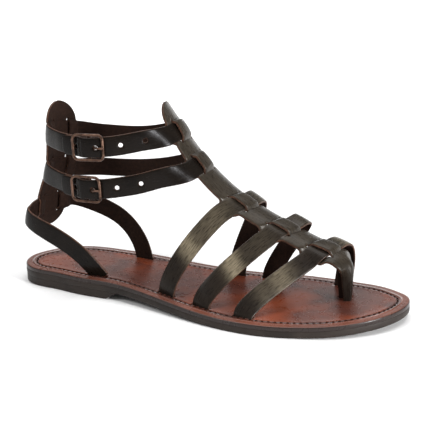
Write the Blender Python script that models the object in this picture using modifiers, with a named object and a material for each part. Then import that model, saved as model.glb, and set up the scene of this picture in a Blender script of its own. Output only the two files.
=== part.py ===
"""Flat leather sandal for the right foot, with an instep strap, three vamp straps, a heel strap,
a back piece and two buckled ankle straps.

Metres, +Z up, +X towards the toes, +Y towards the inner side of the foot.
The origin is on the floor, under the middle of the sandal's box.
"""
from collections import namedtuple

import bmesh
import bpy
import numpy as np
from mathutils import Matrix

# Sole
SOLE_LENGTH = 0.250
HEEL_WIDTH = 0.0588
WAIST_WIDTH = 0.0647
BALL_WIDTH = 0.0863
INSOLE_THICKNESS = 0.0025
OUTSOLE_THICKNESS = 0.0036
HEEL_BLOCK_THICKNESS = 0.0048
HEEL_BLOCK_LENGTH = 0.070
HEEL_BLOCK_SLOPE = 0.008
TOE_SPRING = 0.0040

# Leather strips
STRAP_THICKNESS = 0.0017
SPINE_THICKNESS = 0.0020
VAMP_STRAP_WIDTH = 0.0116
ANKLE_STRAP_WIDTH = 0.0118
HEEL_STRAP_WIDTH = 0.0118
SPINE_WIDTH = 0.0215
POST_WIDTH = 0.0150
BACK_WIDTH = 0.0265
STRAP_INSET = 0.0090

# Heights above the floor
SPINE_HEIGHT = 0.120
BACK_HEIGHT = 0.117
ANKLE_HALF_WIDTH = 0.034
ANKLE_SAG = 0.010
INSTEP_RADIUS = 0.028
HEEL_RADIUS = 0.030
SPINE_ROLL = np.radians(8.0)
BACK_ROLL = np.radians(14.0)

# Slits that the straps are threaded through
SLIT_WIDTH = 0.0009
SLIT_SPARE = 0.0034
BAND_SHARE = 0.50
SPINE_BAND_RISE = 0.50
MARGIN_BEND = 0.0075
BACK_BAND_RISE = 0.45
PUNCH_DIAMETER = 0.0030

# Buckles
BUCKLE_LENGTH = 0.0215
BUCKLE_MARGIN = 0.0015
BUCKLE_WIRE = 0.0018
BUCKLE_CORNER = 0.0035
PEG_DIAMETER = 0.0014
BILLET_LAP = 0.020
STRAP_HOLE_PITCH = 0.0145
STRAP_HOLES = 4

# Gaps between neighbouring pieces
FIT_GAP = 0.0003
CROSSING_SLACK = 0.0012
SLOT_CLEARANCE = 0.0008

Station = namedtuple("Station", "along width lateral medial")
OUTLINE = (
    Station(0.000, HEEL_WIDTH, 0.000, 0.000),
    Station(0.020, HEEL_WIDTH, 0.267, 0.223),
    Station(0.060, HEEL_WIDTH, 0.381, 0.415),
    Station(0.120, HEEL_WIDTH, 0.413, 0.522),
    Station(0.200, HEEL_WIDTH, 0.464, 0.536),
    Station(0.300, WAIST_WIDTH, 0.440, 0.473),
    Station(0.420, WAIST_WIDTH, 0.532, 0.468),
    Station(0.550, BALL_WIDTH, 0.496, 0.388),
    Station(0.650, BALL_WIDTH, 0.538, 0.436),
    Station(0.720, BALL_WIDTH, 0.532, 0.467),
    Station(0.790, BALL_WIDTH, 0.487, 0.461),
    Station(0.860, BALL_WIDTH, 0.416, 0.430),
    Station(0.920, BALL_WIDTH, 0.305, 0.377),
    Station(0.965, BALL_WIDTH, 0.173, 0.286),
    Station(0.990, BALL_WIDTH, 0.048, 0.207),
    Station(1.000, BALL_WIDTH, -0.112, 0.112),
)
OUTLINE_POINTS = 88
PROFILE_POINTS = 36
WAIST_START, WAIST_END, SPRING_START = 0.25, 0.64, 0.72

# Instep strap: along is a share of the sole length, height of SPINE_HEIGHT, inward of BALL_WIDTH,
# roll of SPINE_ROLL, which turns the inner edge up
SpineRow = namedtuple("SpineRow", "place along height inward roll")
SPINE = (
    SpineRow("tip", 0.404, 1.000, 0.000, -1.60),
    SpineRow("ankle_upper", 0.4435, 0.864, 0.000, -0.30),
    SpineRow("ankle_lower", 0.4965, 0.706, 0.008, 0.60),
    SpineRow("vamp_rear", 0.600, 0.513, 0.035, 1.00),
    SpineRow("vamp_mid", 0.700, 0.400, 0.065, 1.00),
    SpineRow("vamp_front", 0.798, 0.310, 0.090, 1.00),
    SpineRow("shoulder", 0.840, 0.277, 0.096, 1.00),
    SpineRow("bend", 0.859, 0.245, 0.099, 0.50),
    SpineRow("post", 0.864, 0.180, 0.101, 0.00),
    SpineRow("foot", 0.861, 0.040, 0.103, 0.00),
)

# Back piece, from its top down: along is a share of the sole length, height of BACK_HEIGHT,
# roll of BACK_ROLL, which turns its inside towards the outer side of the foot
BackRow = namedtuple("BackRow", "place along height roll")
BACK = (
    BackRow("tip", 0.110, 1.000, 1.00),
    BackRow("ankle_upper", 0.101, 0.842, 0.60),
    BackRow("ankle_lower", 0.089, 0.640, 0.60),
    BackRow("heel_strap", 0.057, 0.425, 0.72),
    BackRow("foot", 0.058, 0.300, 0.85),
)

# Vamp straps: near and far are the slots' places as shares of the sole length, the leans are
# the strap's way along the instep strap for each step across it, and the arch is how high the
# strap stands off the far margin
VampRow = namedtuple("VampRow", "name crossing near far near_lean far_lean arch")
VAMP = (
    VampRow("vamp_strap_rear", "vamp_rear", 0.438, 0.544, 0.52, 0.17, 0.0016),
    VampRow("vamp_strap_mid", "vamp_mid", 0.540, 0.632, 0.52, 0.33, 0.0026),
    VampRow("vamp_strap_front", "vamp_front", 0.657, 0.829, 0.52, 0.33, 0.0020),
)

# How a vamp strap climbs on each side: rise is the share of the height gone straight up at the
# slot, and bend is the radius below the crossing
Climb = namedtuple("Climb", "rise bend")
CLIMBS = {-1: Climb(0.30, 0.006), 1: Climb(0.30, INSTEP_RADIUS)}

# Ankle straps: bar is the buckle bar's turn in degrees, from the back along the outer side
AnkleRow = namedtuple("AnkleRow", "name buckle crossing bar")
ANKLE = (
    AnkleRow("ankle_strap_upper", "buckle_upper", "ankle_upper", 91.0),
    AnkleRow("ankle_strap_lower", "buckle_lower", "ankle_lower", 82.0),
)

# Heel strap: along is a share of the sole length, across of HEEL_WIDTH, height of BACK_HEIGHT
HeelRow = namedtuple("HeelRow", "along across height")
HEEL_NEAR = (
    HeelRow(0.215, 0.40, 0.197),
    HeelRow(0.130, 0.47, 0.328),
    HeelRow(0.054, 0.36, 0.412),
)
HEEL_FAR = (
    HeelRow(0.283, 0.36, 0.170),
    HeelRow(0.235, 0.42, 0.285),
    HeelRow(0.140, 0.44, 0.375),
    HeelRow(0.078, 0.35, 0.415),
)
HEEL_SLOTS = {-1: 0.252, 1: 0.293}
HEEL_CENTRE = 0.12

# Height of the ankle loops over a straight line from back to front, as shares of ANKLE_SAG
RiseRow = namedtuple("RiseRow", "turn ankle_upper ankle_lower")
ANKLE_RISE = (
    RiseRow(0.0, 0.00, 0.00),
    RiseRow(45.0, -0.15, -0.35),
    RiseRow(90.0, -0.38, -0.73),
    RiseRow(125.0, -0.28, -0.50),
    RiseRow(150.0, -0.08, -0.16),
    RiseRow(180.0, 0.00, 0.00),
    RiseRow(210.0, -0.10, -0.10),
    RiseRow(235.0, -0.55, -0.55),
    RiseRow(270.0, -0.95, -0.98),
    RiseRow(315.0, -0.60, -0.60),
    RiseRow(360.0, 0.00, 0.00),
)
LOOP_STEP = 12.0
LOOP_CLEAR = 38.0

# The strap through its buckle: share of the frame's half length from the bar, positive ahead,
# and how far it is lifted, in strap layers and in bar heights
LapRow = namedtuple("LapRow", "share under over")
LAP = (
    LapRow(-2.40, 1.00, 0.00),
    LapRow(-0.82, 1.00, 0.00),
    LapRow(-0.25, 0.00, 1.00),
    LapRow(0.58, 0.00, 1.00),
    LapRow(0.98, 1.00, 0.00),
    LapRow(2.30, 0.00, 0.00),
)

COLOURS = {
    "strap": ((0.030, 0.024, 0.019), 0.42, 0.0),
    "insole": ((0.135, 0.035, 0.017), 0.35, 0.0),
    "sole": ((0.030, 0.014, 0.010), 0.45, 0.0),
    "buckle": ((0.16, 0.085, 0.055), 0.40, 1.0),
}

# Shapes that follow from the dimensions above, and how finely they are divided
SLIT_TOP = 0.0013
LEAN_BLEND = 0.003
TAB_ROUND = 0.97
TAB_ROWS = 6
FOLD_FLAT = 0.0015
POST_FOLD = np.radians(78.0)
ROW_MERGE = 0.0008
ROW_STEP = 0.0038
SHARE_SPARE = 0.001
EDGE_STEP = 0.01 * SOLE_LENGTH
PLAN_MARGIN = 0.02 * SOLE_LENGTH
WELD_DISTANCE = 0.00001
PUNCH_SIDES = 12
# turned so that no side of a punch lies along the rows of the leather
PUNCH_TURN = np.radians(11.0)
PUNCH_DEPTH = 4.0 * SPINE_THICKNESS
CLIMB_POINTS = 9
VAMP_ROWS = 49
HEEL_ROWS = 69
LOOP_ROWS = 56
HOOK_ROWS = 6
BUCKLE_ROWS = 6
NEAR_BAR, FAR_ROUND, FULL_TURN = 60.0, 330.0, 360.0
TURN_STEPS = (2.0, 6.0, 3.0)
HOOK_TURNS = np.radians([25.0, 50.0, 75.0, 100.0])
PEG_SHARE = 0.53
PEG_BEND = 0.6 * PEG_DIAMETER
BUCKLE_HALF = (BUCKLE_LENGTH - BUCKLE_WIRE) / 2.0
BAR_HEIGHT = STRAP_THICKNESS / 2.0 + FIT_GAP + BUCKLE_WIRE / 2.0
UNDER_LIFT = STRAP_THICKNESS + FIT_GAP
OVER_LIFT = BAR_HEIGHT + BUCKLE_WIRE / 2.0 + FIT_GAP + STRAP_THICKNESS / 2.0
FRAME_HEIGHT = UNDER_LIFT + STRAP_THICKNESS / 2.0 + FIT_GAP + BUCKLE_WIRE / 2.0

FOREFOOT_TOP = INSOLE_THICKNESS + FIT_GAP + OUTSOLE_THICKNESS
STRAP_END_DEPTH = INSOLE_THICKNESS / 2.0
CROSSING_HEIGHT = SPINE_THICKNESS + STRAP_THICKNESS + 2.0 * FIT_GAP + CROSSING_SLACK
STRAP_LIFT = SPINE_THICKNESS / 2.0 + FIT_GAP + CROSSING_SLACK / 2.0 + STRAP_THICKNESS / 2.0
OVER_BEND = MARGIN_BEND + STRAP_LIFT
LAID_SHARES = np.array([-1.06, -0.7, -0.35, 0.0, 0.35, 0.7, 1.06])
ROUTE_SAMPLES = 700


def unit(vectors):
    return vectors / np.linalg.norm(vectors, axis=-1, keepdims=True)


def smoothstep(share):
    share = np.clip(share, 0.0, 1.0)
    return share * share * (3.0 - 2.0 * share)


def spline(knots, values, places):
    """Natural cubic spline through the values at the knots, read at the places."""
    knots, values, places = np.asarray(knots), np.asarray(values, float), np.asarray(places)
    if values.ndim == 1:
        return spline(knots, values[:, None], places)[:, 0]
    gaps = np.diff(knots)
    slopes = np.diff(values, axis=0) / gaps[:, None]
    system = np.eye(len(knots))
    bends = np.zeros_like(values)
    for row in range(1, len(knots) - 1):
        before, after = gaps[row - 1], gaps[row]
        system[row, row - 1:row + 2] = before, 2.0 * (before + after), after
        bends[row] = 6.0 * (slopes[row] - slopes[row - 1])
    bends = np.linalg.solve(system, bends)
    cell = np.clip(np.searchsorted(knots, places, side="right") - 1, 0, len(knots) - 2)
    gap = gaps[cell][:, None]
    right = (places - knots[cell])[:, None] / gap
    left = 1.0 - right
    bow = (left ** 3 - left) * bends[cell] + (right ** 3 - right) * bends[cell + 1]
    return left * values[cell] + right * values[cell + 1] + bow * gap ** 2 / 6.0


def chord_lengths(points):
    steps = np.linalg.norm(np.diff(points, axis=0), axis=1)
    return np.concatenate(([0.0], np.cumsum(steps)))


class Route:
    """A smooth line through points, read by the length travelled along it."""

    def __init__(self, points):
        points = np.asarray(points, float)
        knots = chord_lengths(points)
        places = np.linspace(0.0, knots[-1], ROUTE_SAMPLES)
        self.points = spline(knots, points, places)
        self.lengths = chord_lengths(self.points)
        self.length = self.lengths[-1]
        self.marks = np.interp(knots, places, self.lengths)

    def at(self, lengths):
        columns = [np.interp(lengths, self.lengths, self.points[:, axis]) for axis in range(3)]
        return np.stack(columns, axis=-1)

    def tangent(self, lengths):
        step = self.length / ROUTE_SAMPLES
        lengths = np.clip(lengths, step, self.length - step)
        return unit(self.at(lengths + step) - self.at(lengths - step))


def plan_outline(count):
    """The sole's outline from the heel along the outer side to the toes, and back."""
    outer = [(row.along * SOLE_LENGTH, -row.lateral * row.width) for row in OUTLINE]
    inner = [(row.along * SOLE_LENGTH, row.medial * row.width) for row in OUTLINE[1:-1]]
    ring = np.array(outer + inner[::-1])
    lap = 4
    wrapped = np.vstack([ring[-lap:], ring, ring[:lap + 1]])
    knots = chord_lengths(wrapped)
    places = np.linspace(knots[lap], knots[lap + len(ring)], count, endpoint=False)
    return spline(knots, wrapped, places)


def edge_line(side):
    """One side of the outline, by growing x: side -1 is the outer side, 1 the inner one."""
    line = plan_outline(8 * OUTLINE_POINTS)
    toe = int(np.argmax(line[:, 0]))
    half = line[:toe + 1] if side < 0 else line[toe:][::-1]
    return half[np.argsort(half[:, 0])]


def slot_place(along, side):
    """The point where a strap enters the insole, and the edge's direction there."""
    line = edge_line(side)
    x = along * SOLE_LENGTH
    across = np.interp([x - EDGE_STEP, x, x + EDGE_STEP], line[:, 0], line[:, 1])
    direction = unit(np.array([2.0 * EDGE_STEP, across[2] - across[0], 0.0]))
    outward = np.array([direction[1], -direction[0], 0.0]) * -side
    point = np.array([x, across[1], 0.0]) - outward * STRAP_INSET
    point[2] = top_height(point[0])
    return point, direction, outward


def top_height(x):
    """Height of the insole's top: level heel, sloping waist, level ball and rising toes."""
    share = np.asarray(x) / SOLE_LENGTH
    drop = 1.0 - smoothstep((share - WAIST_START) / (WAIST_END - WAIST_START))
    spring = np.clip((share - SPRING_START) / (1.0 - SPRING_START), 0.0, None) ** 2
    return FOREFOOT_TOP + (HEEL_BLOCK_THICKNESS + FIT_GAP) * drop + TOE_SPRING * spring


def make_material(name):
    colour, roughness, metallic = COLOURS[name]
    material = bpy.data.materials.new(name)
    material.use_nodes = True
    shader = material.node_tree.nodes["Principled BSDF"]
    shader.inputs["Base Color"].default_value = (*colour, 1.0)
    shader.inputs["Roughness"].default_value = roughness
    shader.inputs["Metallic"].default_value = metallic
    return material


def add_piece(name, mesh, material):
    piece = bpy.data.objects.new(name, mesh)
    mesh.materials.append(materials[material])
    sandal.objects.link(piece)
    piece.parent = root
    return piece


def add_cutter(name, mesh, matrix=None):
    cutter = bpy.data.objects.new(name, mesh)
    cutters.objects.link(cutter)
    cutter.parent = root
    if matrix is not None:
        cutter.matrix_local = matrix
    cutter.hide_render = True
    cutter.display_type = "WIRE"
    return cutter


def combine(piece, cutter, operation, folded=False):
    """A cut or a joint kept live on the piece; a folded sheet may touch itself beside its slits."""
    boolean = piece.modifiers.new(cutter.name, "BOOLEAN")
    boolean.operation = operation
    boolean.object = cutter
    boolean.solver = "EXACT"
    boolean.use_self = folded


def curve_mesh(curve_data, name, turn=Matrix.Identity(4)):
    """The closed mesh of a curve, with its caps welded on."""
    curve = bpy.data.objects.new(name, curve_data)
    bpy.context.scene.collection.objects.link(curve)
    bpy.context.view_layer.update()
    evaluated = curve.evaluated_get(bpy.context.evaluated_depsgraph_get())
    mesh = bpy.data.meshes.new_from_object(evaluated)
    bpy.data.objects.remove(curve)
    mesh.transform(turn)
    shape = bmesh.new()
    shape.from_mesh(mesh)
    bmesh.ops.remove_doubles(shape, verts=shape.verts, dist=WELD_DISTANCE)
    shape.to_mesh(mesh)
    shape.free()
    return mesh


def flat_mesh(name, points, depth, turn=Matrix.Identity(4)):
    """A flat outline filled and given a depth, half of it to each side."""
    data = bpy.data.curves.new(name, "CURVE")
    data.dimensions = "2D"
    data.fill_mode = "BOTH"
    data.extrude = depth / 2.0
    line = data.splines.new("POLY")
    line.points.add(len(points) - 1)
    for spot, (x, y) in zip(line.points, points):
        spot.co = (x, y, 0.0, 1.0)
    line.use_cyclic_u = True
    return curve_mesh(data, name, turn)


def tube_mesh(name, points, radius, closed=False, sides=2):
    """A round bar along points."""
    data = bpy.data.curves.new(name, "CURVE")
    data.dimensions = "3D"
    data.bevel_depth = radius
    data.bevel_resolution = sides
    data.use_fill_caps = not closed
    line = data.splines.new("POLY")
    line.points.add(len(points) - 1)
    for spot, point in zip(line.points, points):
        spot.co = (*point, 1.0)
    line.use_cyclic_u = closed
    return curve_mesh(data, name)


def box_mesh(name, size):
    shape = bmesh.new()
    bmesh.ops.create_cube(shape, size=1.0)
    bmesh.ops.scale(shape, vec=size, verts=shape.verts)
    mesh = bpy.data.meshes.new(name)
    shape.to_mesh(mesh)
    shape.free()
    return mesh


def frame_matrix(place, x_axis, y_axis, z_axis):
    """A matrix whose columns are three axes and a place."""
    rows = np.eye(4)
    rows[:3, 0], rows[:3, 1], rows[:3, 2], rows[:3, 3] = x_axis, y_axis, z_axis, place
    return Matrix(rows.tolist())


def punch_mesh(name, places, directions, diameter, depth):
    """Round punches joined in one mesh, each across the leather at its place."""
    shape = bmesh.new()
    for place, direction in zip(places, directions):
        side = unit(np.cross(direction, np.eye(3)[np.argmin(np.abs(direction))]))
        matrix = frame_matrix(place, side, np.cross(direction, side), direction)
        matrix = matrix @ Matrix.Rotation(PUNCH_TURN, 4, "Z")
        bmesh.ops.create_cone(shape, cap_ends=True, segments=PUNCH_SIDES, radius1=diameter / 2.0,
                              radius2=diameter / 2.0, depth=depth, matrix=matrix)
    mesh = bpy.data.meshes.new(name)
    shape.to_mesh(mesh)
    shape.free()
    return mesh


def leather_sheet(name, grid, thickness, material, missing=None):
    """A grid of points as one sheet of leather; missing marks the cells that are open."""
    rows, columns = grid.shape[:2]
    index = np.arange(rows * columns).reshape(rows, columns)
    corners = np.stack([index[:-1, :-1], index[:-1, 1:], index[1:, 1:], index[1:, :-1]], axis=-1)
    cells = corners[~missing] if missing is not None else corners.reshape(-1, 4)
    mesh = bpy.data.meshes.new(name)
    mesh.from_pydata(grid.reshape(-1, 3).tolist(), [], cells.reshape(-1, 4).tolist())
    mesh.shade_smooth()
    piece = add_piece(name, mesh, material)
    wall = piece.modifiers.new("leather", "SOLIDIFY")
    wall.thickness = thickness
    wall.offset = 0.0
    wall.use_even_offset = True
    return piece


class Strap:
    """A band of one width along a route, with its outer face turned along the hints."""

    def __init__(self, points, hints, width):
        self.route = Route(points)
        self.hints = np.asarray(hints, float)
        self.width = width

    def normal(self, lengths):
        hint = np.stack([np.interp(lengths, self.route.marks, self.hints[:, axis])
                         for axis in range(3)], axis=-1)
        along = self.route.tangent(lengths)
        return unit(hint - along * np.sum(hint * along, axis=-1, keepdims=True))

    def across(self, lengths):
        return np.cross(self.route.tangent(lengths), self.normal(lengths))

    def build(self, name, lengths):
        centre = self.route.at(lengths)
        side = self.across(lengths) * self.width / 2.0
        grid = np.stack([centre - side, centre + side], axis=1)
        return leather_sheet(name, grid, STRAP_THICKNESS, "strap")


Crossing = namedtuple("Crossing", "place footprint near_lean far_lean bent")


def lean_way(reach, near, far):
    """Way along a strip at a reach across it: a hyperbola that joins the leans of two sides."""
    return (far + near) / 2.0 * reach + (far - near) / 2.0 * (np.hypot(reach, LEAN_BLEND) - LEAN_BLEND)


class Strip:
    """The instep strap or the back piece: a crowned band with slits that straps pass through."""

    def __init__(self, points, side, width, radius, rolls, band_rise):
        self.route = Route(points)
        self.side = np.array([0.0, side, 0.0])
        self.half = width / 2.0
        self.radius = radius
        self.rolls = rolls
        self.band_rise = band_rise
        self.crossings = []
        self.straight_at = self.route.length

    def frame(self, lengths):
        """Place, direction along, direction across and outward normal."""
        along = self.route.tangent(lengths)
        across = unit(self.side - along * (along @ self.side)[..., None])
        normal = np.cross(along, across)
        roll = np.interp(lengths, self.route.marks, self.rolls)[..., None]
        across = across * np.cos(roll) + normal * np.sin(roll)
        return self.route.at(lengths), along, across, np.cross(along, across)

    def past_slit(self, reach):
        """How far a reach lies past the near slit, on the margin that a strap bends down."""
        return np.clip(-reach - BAND_SHARE * self.half, 0.0, None)

    def cross(self, place, width, near_lean=0.0, far_lean=0.0, arch=0.0, bent=0.0):
        """Notes a strap of this width laid over the margins at a place.

        The arch lifts the strap off the far margin, and bent is 1 where it turns the near
        margin down. Returns points along the strap's middle and its outward normals.
        """
        footprint = width * np.hypot(1.0, max(near_lean, far_lean)) / 2.0
        self.crossings.append(Crossing(place, footprint, near_lean, far_lean, bent))
        reach = LAID_SHARES * self.half
        point, _, across, normal = self.frame(place + lean_way(reach, near_lean, far_lean))
        lift = STRAP_LIFT - (1.0 - self.band_rise) * CROSSING_HEIGHT
        past = self.past_slit(reach)
        depth = reach ** 2 / (2.0 * self.radius) + bent * past ** 2 / (2.0 * OVER_BEND)
        depth -= arch * smoothstep((LAID_SHARES - BAND_SHARE) / BAND_SHARE)
        slope = reach / self.radius - bent * past / OVER_BEND
        points = point + across * reach[:, None] + normal * (lift - depth)[:, None]
        return points, unit(normal + across * slope[:, None])

    def lean_at(self, lengths, reach):
        """Way along the strip at a reach, shared out between the crossings' leans."""
        rows = sorted(self.crossings, key=lambda row: row.place)
        places = [row.place for row in rows] + [self.straight_at]
        near = np.interp(lengths, places, [row.near_lean for row in rows] + [0.0])
        far = np.interp(lengths, places, [row.far_lean for row in rows] + [0.0])
        return lean_way(reach, near[:, None], far[:, None])

    def slit_columns(self):
        inner = BAND_SHARE
        outer = BAND_SHARE + SLIT_WIDTH / self.half
        return np.array([-1.0, -outer, -inner, 0.0, inner, outer, 1.0])

    def parting(self, lengths):
        """How far band and margins have parted, from 0 to 1, and the same where they bend."""
        parted, bent = np.zeros_like(lengths), np.zeros_like(lengths)
        for row in self.crossings:
            ramp = (row.footprint + SLIT_SPARE - np.abs(lengths - row.place)) / (SLIT_SPARE - SLIT_TOP)
            parted += np.clip(ramp, 0.0, 1.0)
            bent += row.bent * np.clip(ramp, 0.0, 1.0)
        return parted, bent

    def rows(self, head, tail):
        """Places of the grid rows: round ends, slit ends, band corners and even steps between."""
        places = [0.0, self.route.length]
        for row in self.crossings:
            steps = np.array([row.footprint + SLIT_TOP, row.footprint + SLIT_SPARE])
            places += [row.place, *(row.place - steps), *(row.place + steps)]
        places = np.sort(places)
        arc = self.half * (1.0 - np.cos(np.linspace(0.0, np.pi / 2.0, TAB_ROWS)))
        first, last = places[1] - ROW_MERGE, places[-2] + ROW_MERGE
        rows = list(places)
        if head:
            rows += [x for x in arc[1:] if x < first]
        if tail:
            rows += [self.route.length - x for x in arc[1:] if self.route.length - x > last]
        rows = np.sort(rows)
        filled = [rows[:1]]
        for start, end in zip(rows[:-1], rows[1:]):
            count = int(np.ceil((end - start) / ROW_STEP))
            filled.append(start + (end - start) * np.arange(1, count + 1) / count)
        return np.concatenate(filled)

    def open_cells(self, rows):
        middles = (rows[1:] + rows[:-1]) / 2.0
        slit = np.zeros(len(middles), bool)
        for row in self.crossings:
            slit |= np.abs(middles - row.place) < row.footprint + SLIT_SPARE
        missing = np.zeros((len(middles), len(self.slit_columns()) - 1), bool)
        missing[slit, 1] = True
        missing[slit, 4] = True
        return missing

    def grid(self, rows, halves, fold=None):
        """Points of the mid surface, sheared along the crossing straps and folded at the post."""
        shares = self.slit_columns()
        reach = halves[:, None] * shares[None, :]
        lengths = np.clip(rows[:, None] + self.lean_at(rows, reach), 0.0, self.route.length)
        point, along, across, normal = self.frame(lengths)
        angle = np.zeros(len(rows)) if fold is None else fold
        turn = angle[:, None]
        flat = np.minimum(np.abs(reach), FOLD_FLAT)
        leg = np.abs(reach) - flat
        sideways = np.sign(reach) * (flat + leg * np.cos(turn))
        parted, bent = self.parting(rows)
        crown = reach ** 2 / (2.0 * self.radius) * (1.0 - np.sin(turn))
        bend = bent[:, None] * self.past_slit(reach) ** 2 / (2.0 * MARGIN_BEND)
        depth = leg * np.sin(turn) + crown + bend
        level = np.where(np.abs(shares) > BAND_SHARE + SHARE_SPARE, self.band_rise - 1.0, self.band_rise)
        lift = CROSSING_HEIGHT * level[None, :] * parted[:, None]
        return point + across * sideways[..., None] + normal * (lift - depth)[..., None]

    def punches(self):
        """Round holes at the ends of each slit."""
        places, directions = [], []
        for row in self.crossings:
            for end in (-1.0, 1.0):
                for side in (-1.0, 1.0):
                    reach = side * (BAND_SHARE * self.half + SLIT_WIDTH / 2.0)
                    length = row.place + end * (row.footprint + SLIT_SPARE)
                    length += lean_way(reach, row.near_lean, row.far_lean)
                    point, _, across, normal = self.frame(np.array(length))
                    places.append(point + across * reach - normal * reach ** 2 / (2.0 * self.radius))
                    directions.append(normal)
        return places, directions


def make_spine():
    """The instep strap with its round tab, five slit crossings and folded toe post."""
    rows = spine.rows(True, False)
    shoulder = spine.route.marks[[row.place for row in SPINE].index("shoulder")]
    post = spine.route.marks[[row.place for row in SPINE].index("post")]
    taper = smoothstep((rows - shoulder - ROW_MERGE) / (post - shoulder))
    tab = np.clip(1.0 - rows / spine.half, 0.0, 1.0)
    halves = spine.half * np.sqrt(1.0 - tab ** 2 * TAB_ROUND)
    halves = halves * (1.0 - taper) + POST_WIDTH / 2.0 * taper
    grid = spine.grid(rows, halves, POST_FOLD * taper)
    leather_sheet("instep_strap", grid, SPINE_THICKNESS, "strap", spine.open_cells(rows))


def make_back():
    """The back piece with its round top and foot and three slit crossings."""
    rows = back.rows(True, True)
    head = np.clip(1.0 - rows / back.half, 0.0, 1.0)
    tail = np.clip(1.0 - (back.route.length - rows) / back.half, 0.0, 1.0)
    halves = back.half * np.sqrt(1.0 - np.maximum(head, tail) ** 2 * TAB_ROUND)
    grid = back.grid(rows, halves)
    leather_sheet("back_piece", grid, SPINE_THICKNESS, "strap", back.open_cells(rows))


def blend_rows(rows, places):
    """Values of a short table read at places, easing from each row to the next."""
    knots = np.array([row[0] for row in rows])
    values = np.array([row[1:] for row in rows])
    cell = np.clip(np.searchsorted(knots, places, side="right") - 1, 0, len(knots) - 2)
    share = smoothstep((places - knots[cell]) / (knots[cell + 1] - knots[cell]))[:, None]
    return values[cell] * (1.0 - share) + values[cell + 1] * share


def vamp_half(laid, normals, along, side):
    """Points and outer directions from a slot in the insole up to the laid part's end.

    The way up is a cubic curve that starts upright and ends in line with the laid part, with the
    climb's bend as its radius there.
    """
    foot, _, outward = slot_place(along, side)
    last, before = (0, 1) if side < 0 else (-1, -2)
    crest, normal = laid[last], normals[last]
    climb = CLIMBS[side]
    up = np.array([0.0, 0.0, 1.0])
    low = foot + up * climb.rise * (crest[2] - foot[2])
    toward = unit(crest - laid[before])
    offset = low - crest
    drop = np.linalg.norm(offset - toward * (offset @ toward))
    high = crest + toward * np.sqrt(2.0 / 3.0 * drop * climb.bend)
    share = np.linspace(0.0, 1.0, CLIMB_POINTS)[:, None]
    rest = 1.0 - share
    points = (rest ** 3 * foot + 3.0 * rest ** 2 * share * low
              + 3.0 * rest * share ** 2 * high + share ** 3 * crest)
    turn = smoothstep(share)
    hints = outward * (1.0 - turn) + normal * turn
    points = np.vstack([foot - up * STRAP_END_DEPTH, points])
    return points[:-1], np.vstack([outward, hints])[:-1]


def make_vamp_strap(row):
    laid, normals = crossings[row.crossing]
    near, near_hints = vamp_half(laid, normals, row.near, -1)
    far, far_hints = vamp_half(laid, normals, row.far, 1)
    points = np.vstack([near, laid, far[::-1]])
    hints = np.vstack([near_hints, normals, far_hints[::-1]])
    strap = Strap(points, hints, VAMP_STRAP_WIDTH)
    strap.build(row.name, np.linspace(0.0, strap.route.length, VAMP_ROWS))


def make_heel_strap():
    laid, normals = crossings["heel_strap"]
    points, hints = [], []
    for side, rows in ((-1, HEEL_NEAR), (1, HEEL_FAR)):
        foot, _, outward = slot_place(HEEL_SLOTS[side], side)
        heights = (-STRAP_END_DEPTH, 0.0, 2.0 * STRAP_THICKNESS)
        line = [foot + np.array([0.0, 0.0, height]) for height in heights]
        faces = [outward] * len(heights)
        for row in rows:
            place = np.array([row.along * SOLE_LENGTH, side * row.across * HEEL_WIDTH,
                              row.height * BACK_HEIGHT])
            line.append(place)
            faces.append(np.array([min(place[0] - HEEL_CENTRE * SOLE_LENGTH, 0.0), place[1], 0.0]))
        points.append(line)
        hints.append([unit(face) for face in faces])
    route = np.vstack([points[0], laid[::-1], points[1][::-1]])
    faces = np.vstack([hints[0], normals[::-1], hints[1][::-1]])
    strap = Strap(route, faces, HEEL_STRAP_WIDTH)
    strap.build("heel_strap", np.linspace(0.0, strap.route.length, HEEL_ROWS))


def loop_knots(row):
    """Turns, points and outward normals that an ankle loop passes through.

    The turn is in degrees: 0 at the back, 90 on the outer side, 180 at the front. Between the
    two crossings the loop is an ellipse with the heights of ANKLE_RISE added.
    """
    front, front_normals = crossings["spine_" + row.crossing]
    rear, rear_normals = crossings["back_" + row.crossing]
    front_middle, rear_middle = front[len(front) // 2], rear[len(rear) // 2]
    turns = np.arange(-8.0 * LOOP_STEP, 360.0 + 8.0 * LOOP_STEP + 1.0, LOOP_STEP)
    turns = turns[np.abs(np.mod(turns + 90.0, 180.0) - 90.0) > LOOP_CLEAR]
    angle = np.radians(turns)
    ahead = (1.0 - np.cos(angle)) / 2.0
    points = rear_middle + (front_middle - rear_middle) * ahead[:, None]
    points[:, 1] -= ANKLE_HALF_WIDTH * np.sin(angle)
    knots = [rise.turn for rise in ANKLE_RISE]
    values = [getattr(rise, row.crossing) for rise in ANKLE_RISE]
    points[:, 2] += ANKLE_SAG * spline(knots, values, np.mod(turns, 360.0))
    half_length = (front_middle[0] - rear_middle[0]) / 2.0
    outward = unit(np.stack([-np.cos(angle) * ANKLE_HALF_WIDTH, -np.sin(angle) * half_length,
                             np.zeros_like(angle)], axis=-1))
    half_turns = np.degrees(np.arcsin(front[:, 1] / ANKLE_HALF_WIDTH))
    rear_turns = -np.degrees(np.arcsin(rear[:, 1] / ANKLE_HALF_WIDTH))
    turns = np.concatenate([turns, 180.0 + half_turns, rear_turns, 360.0 + rear_turns])
    points = np.vstack([points, front, rear, rear])
    outward = np.vstack([outward, front_normals, rear_normals, rear_normals])
    order = np.argsort(turns)
    return turns[order], points[order], outward[order]


def ankle_loop(row, turns):
    """Points and outward normals on one ankle loop, by the turn in degrees."""
    knots, points, outward = loop_knots(row)
    return spline(knots, points, turns), unit(spline(knots, outward, turns))


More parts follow.
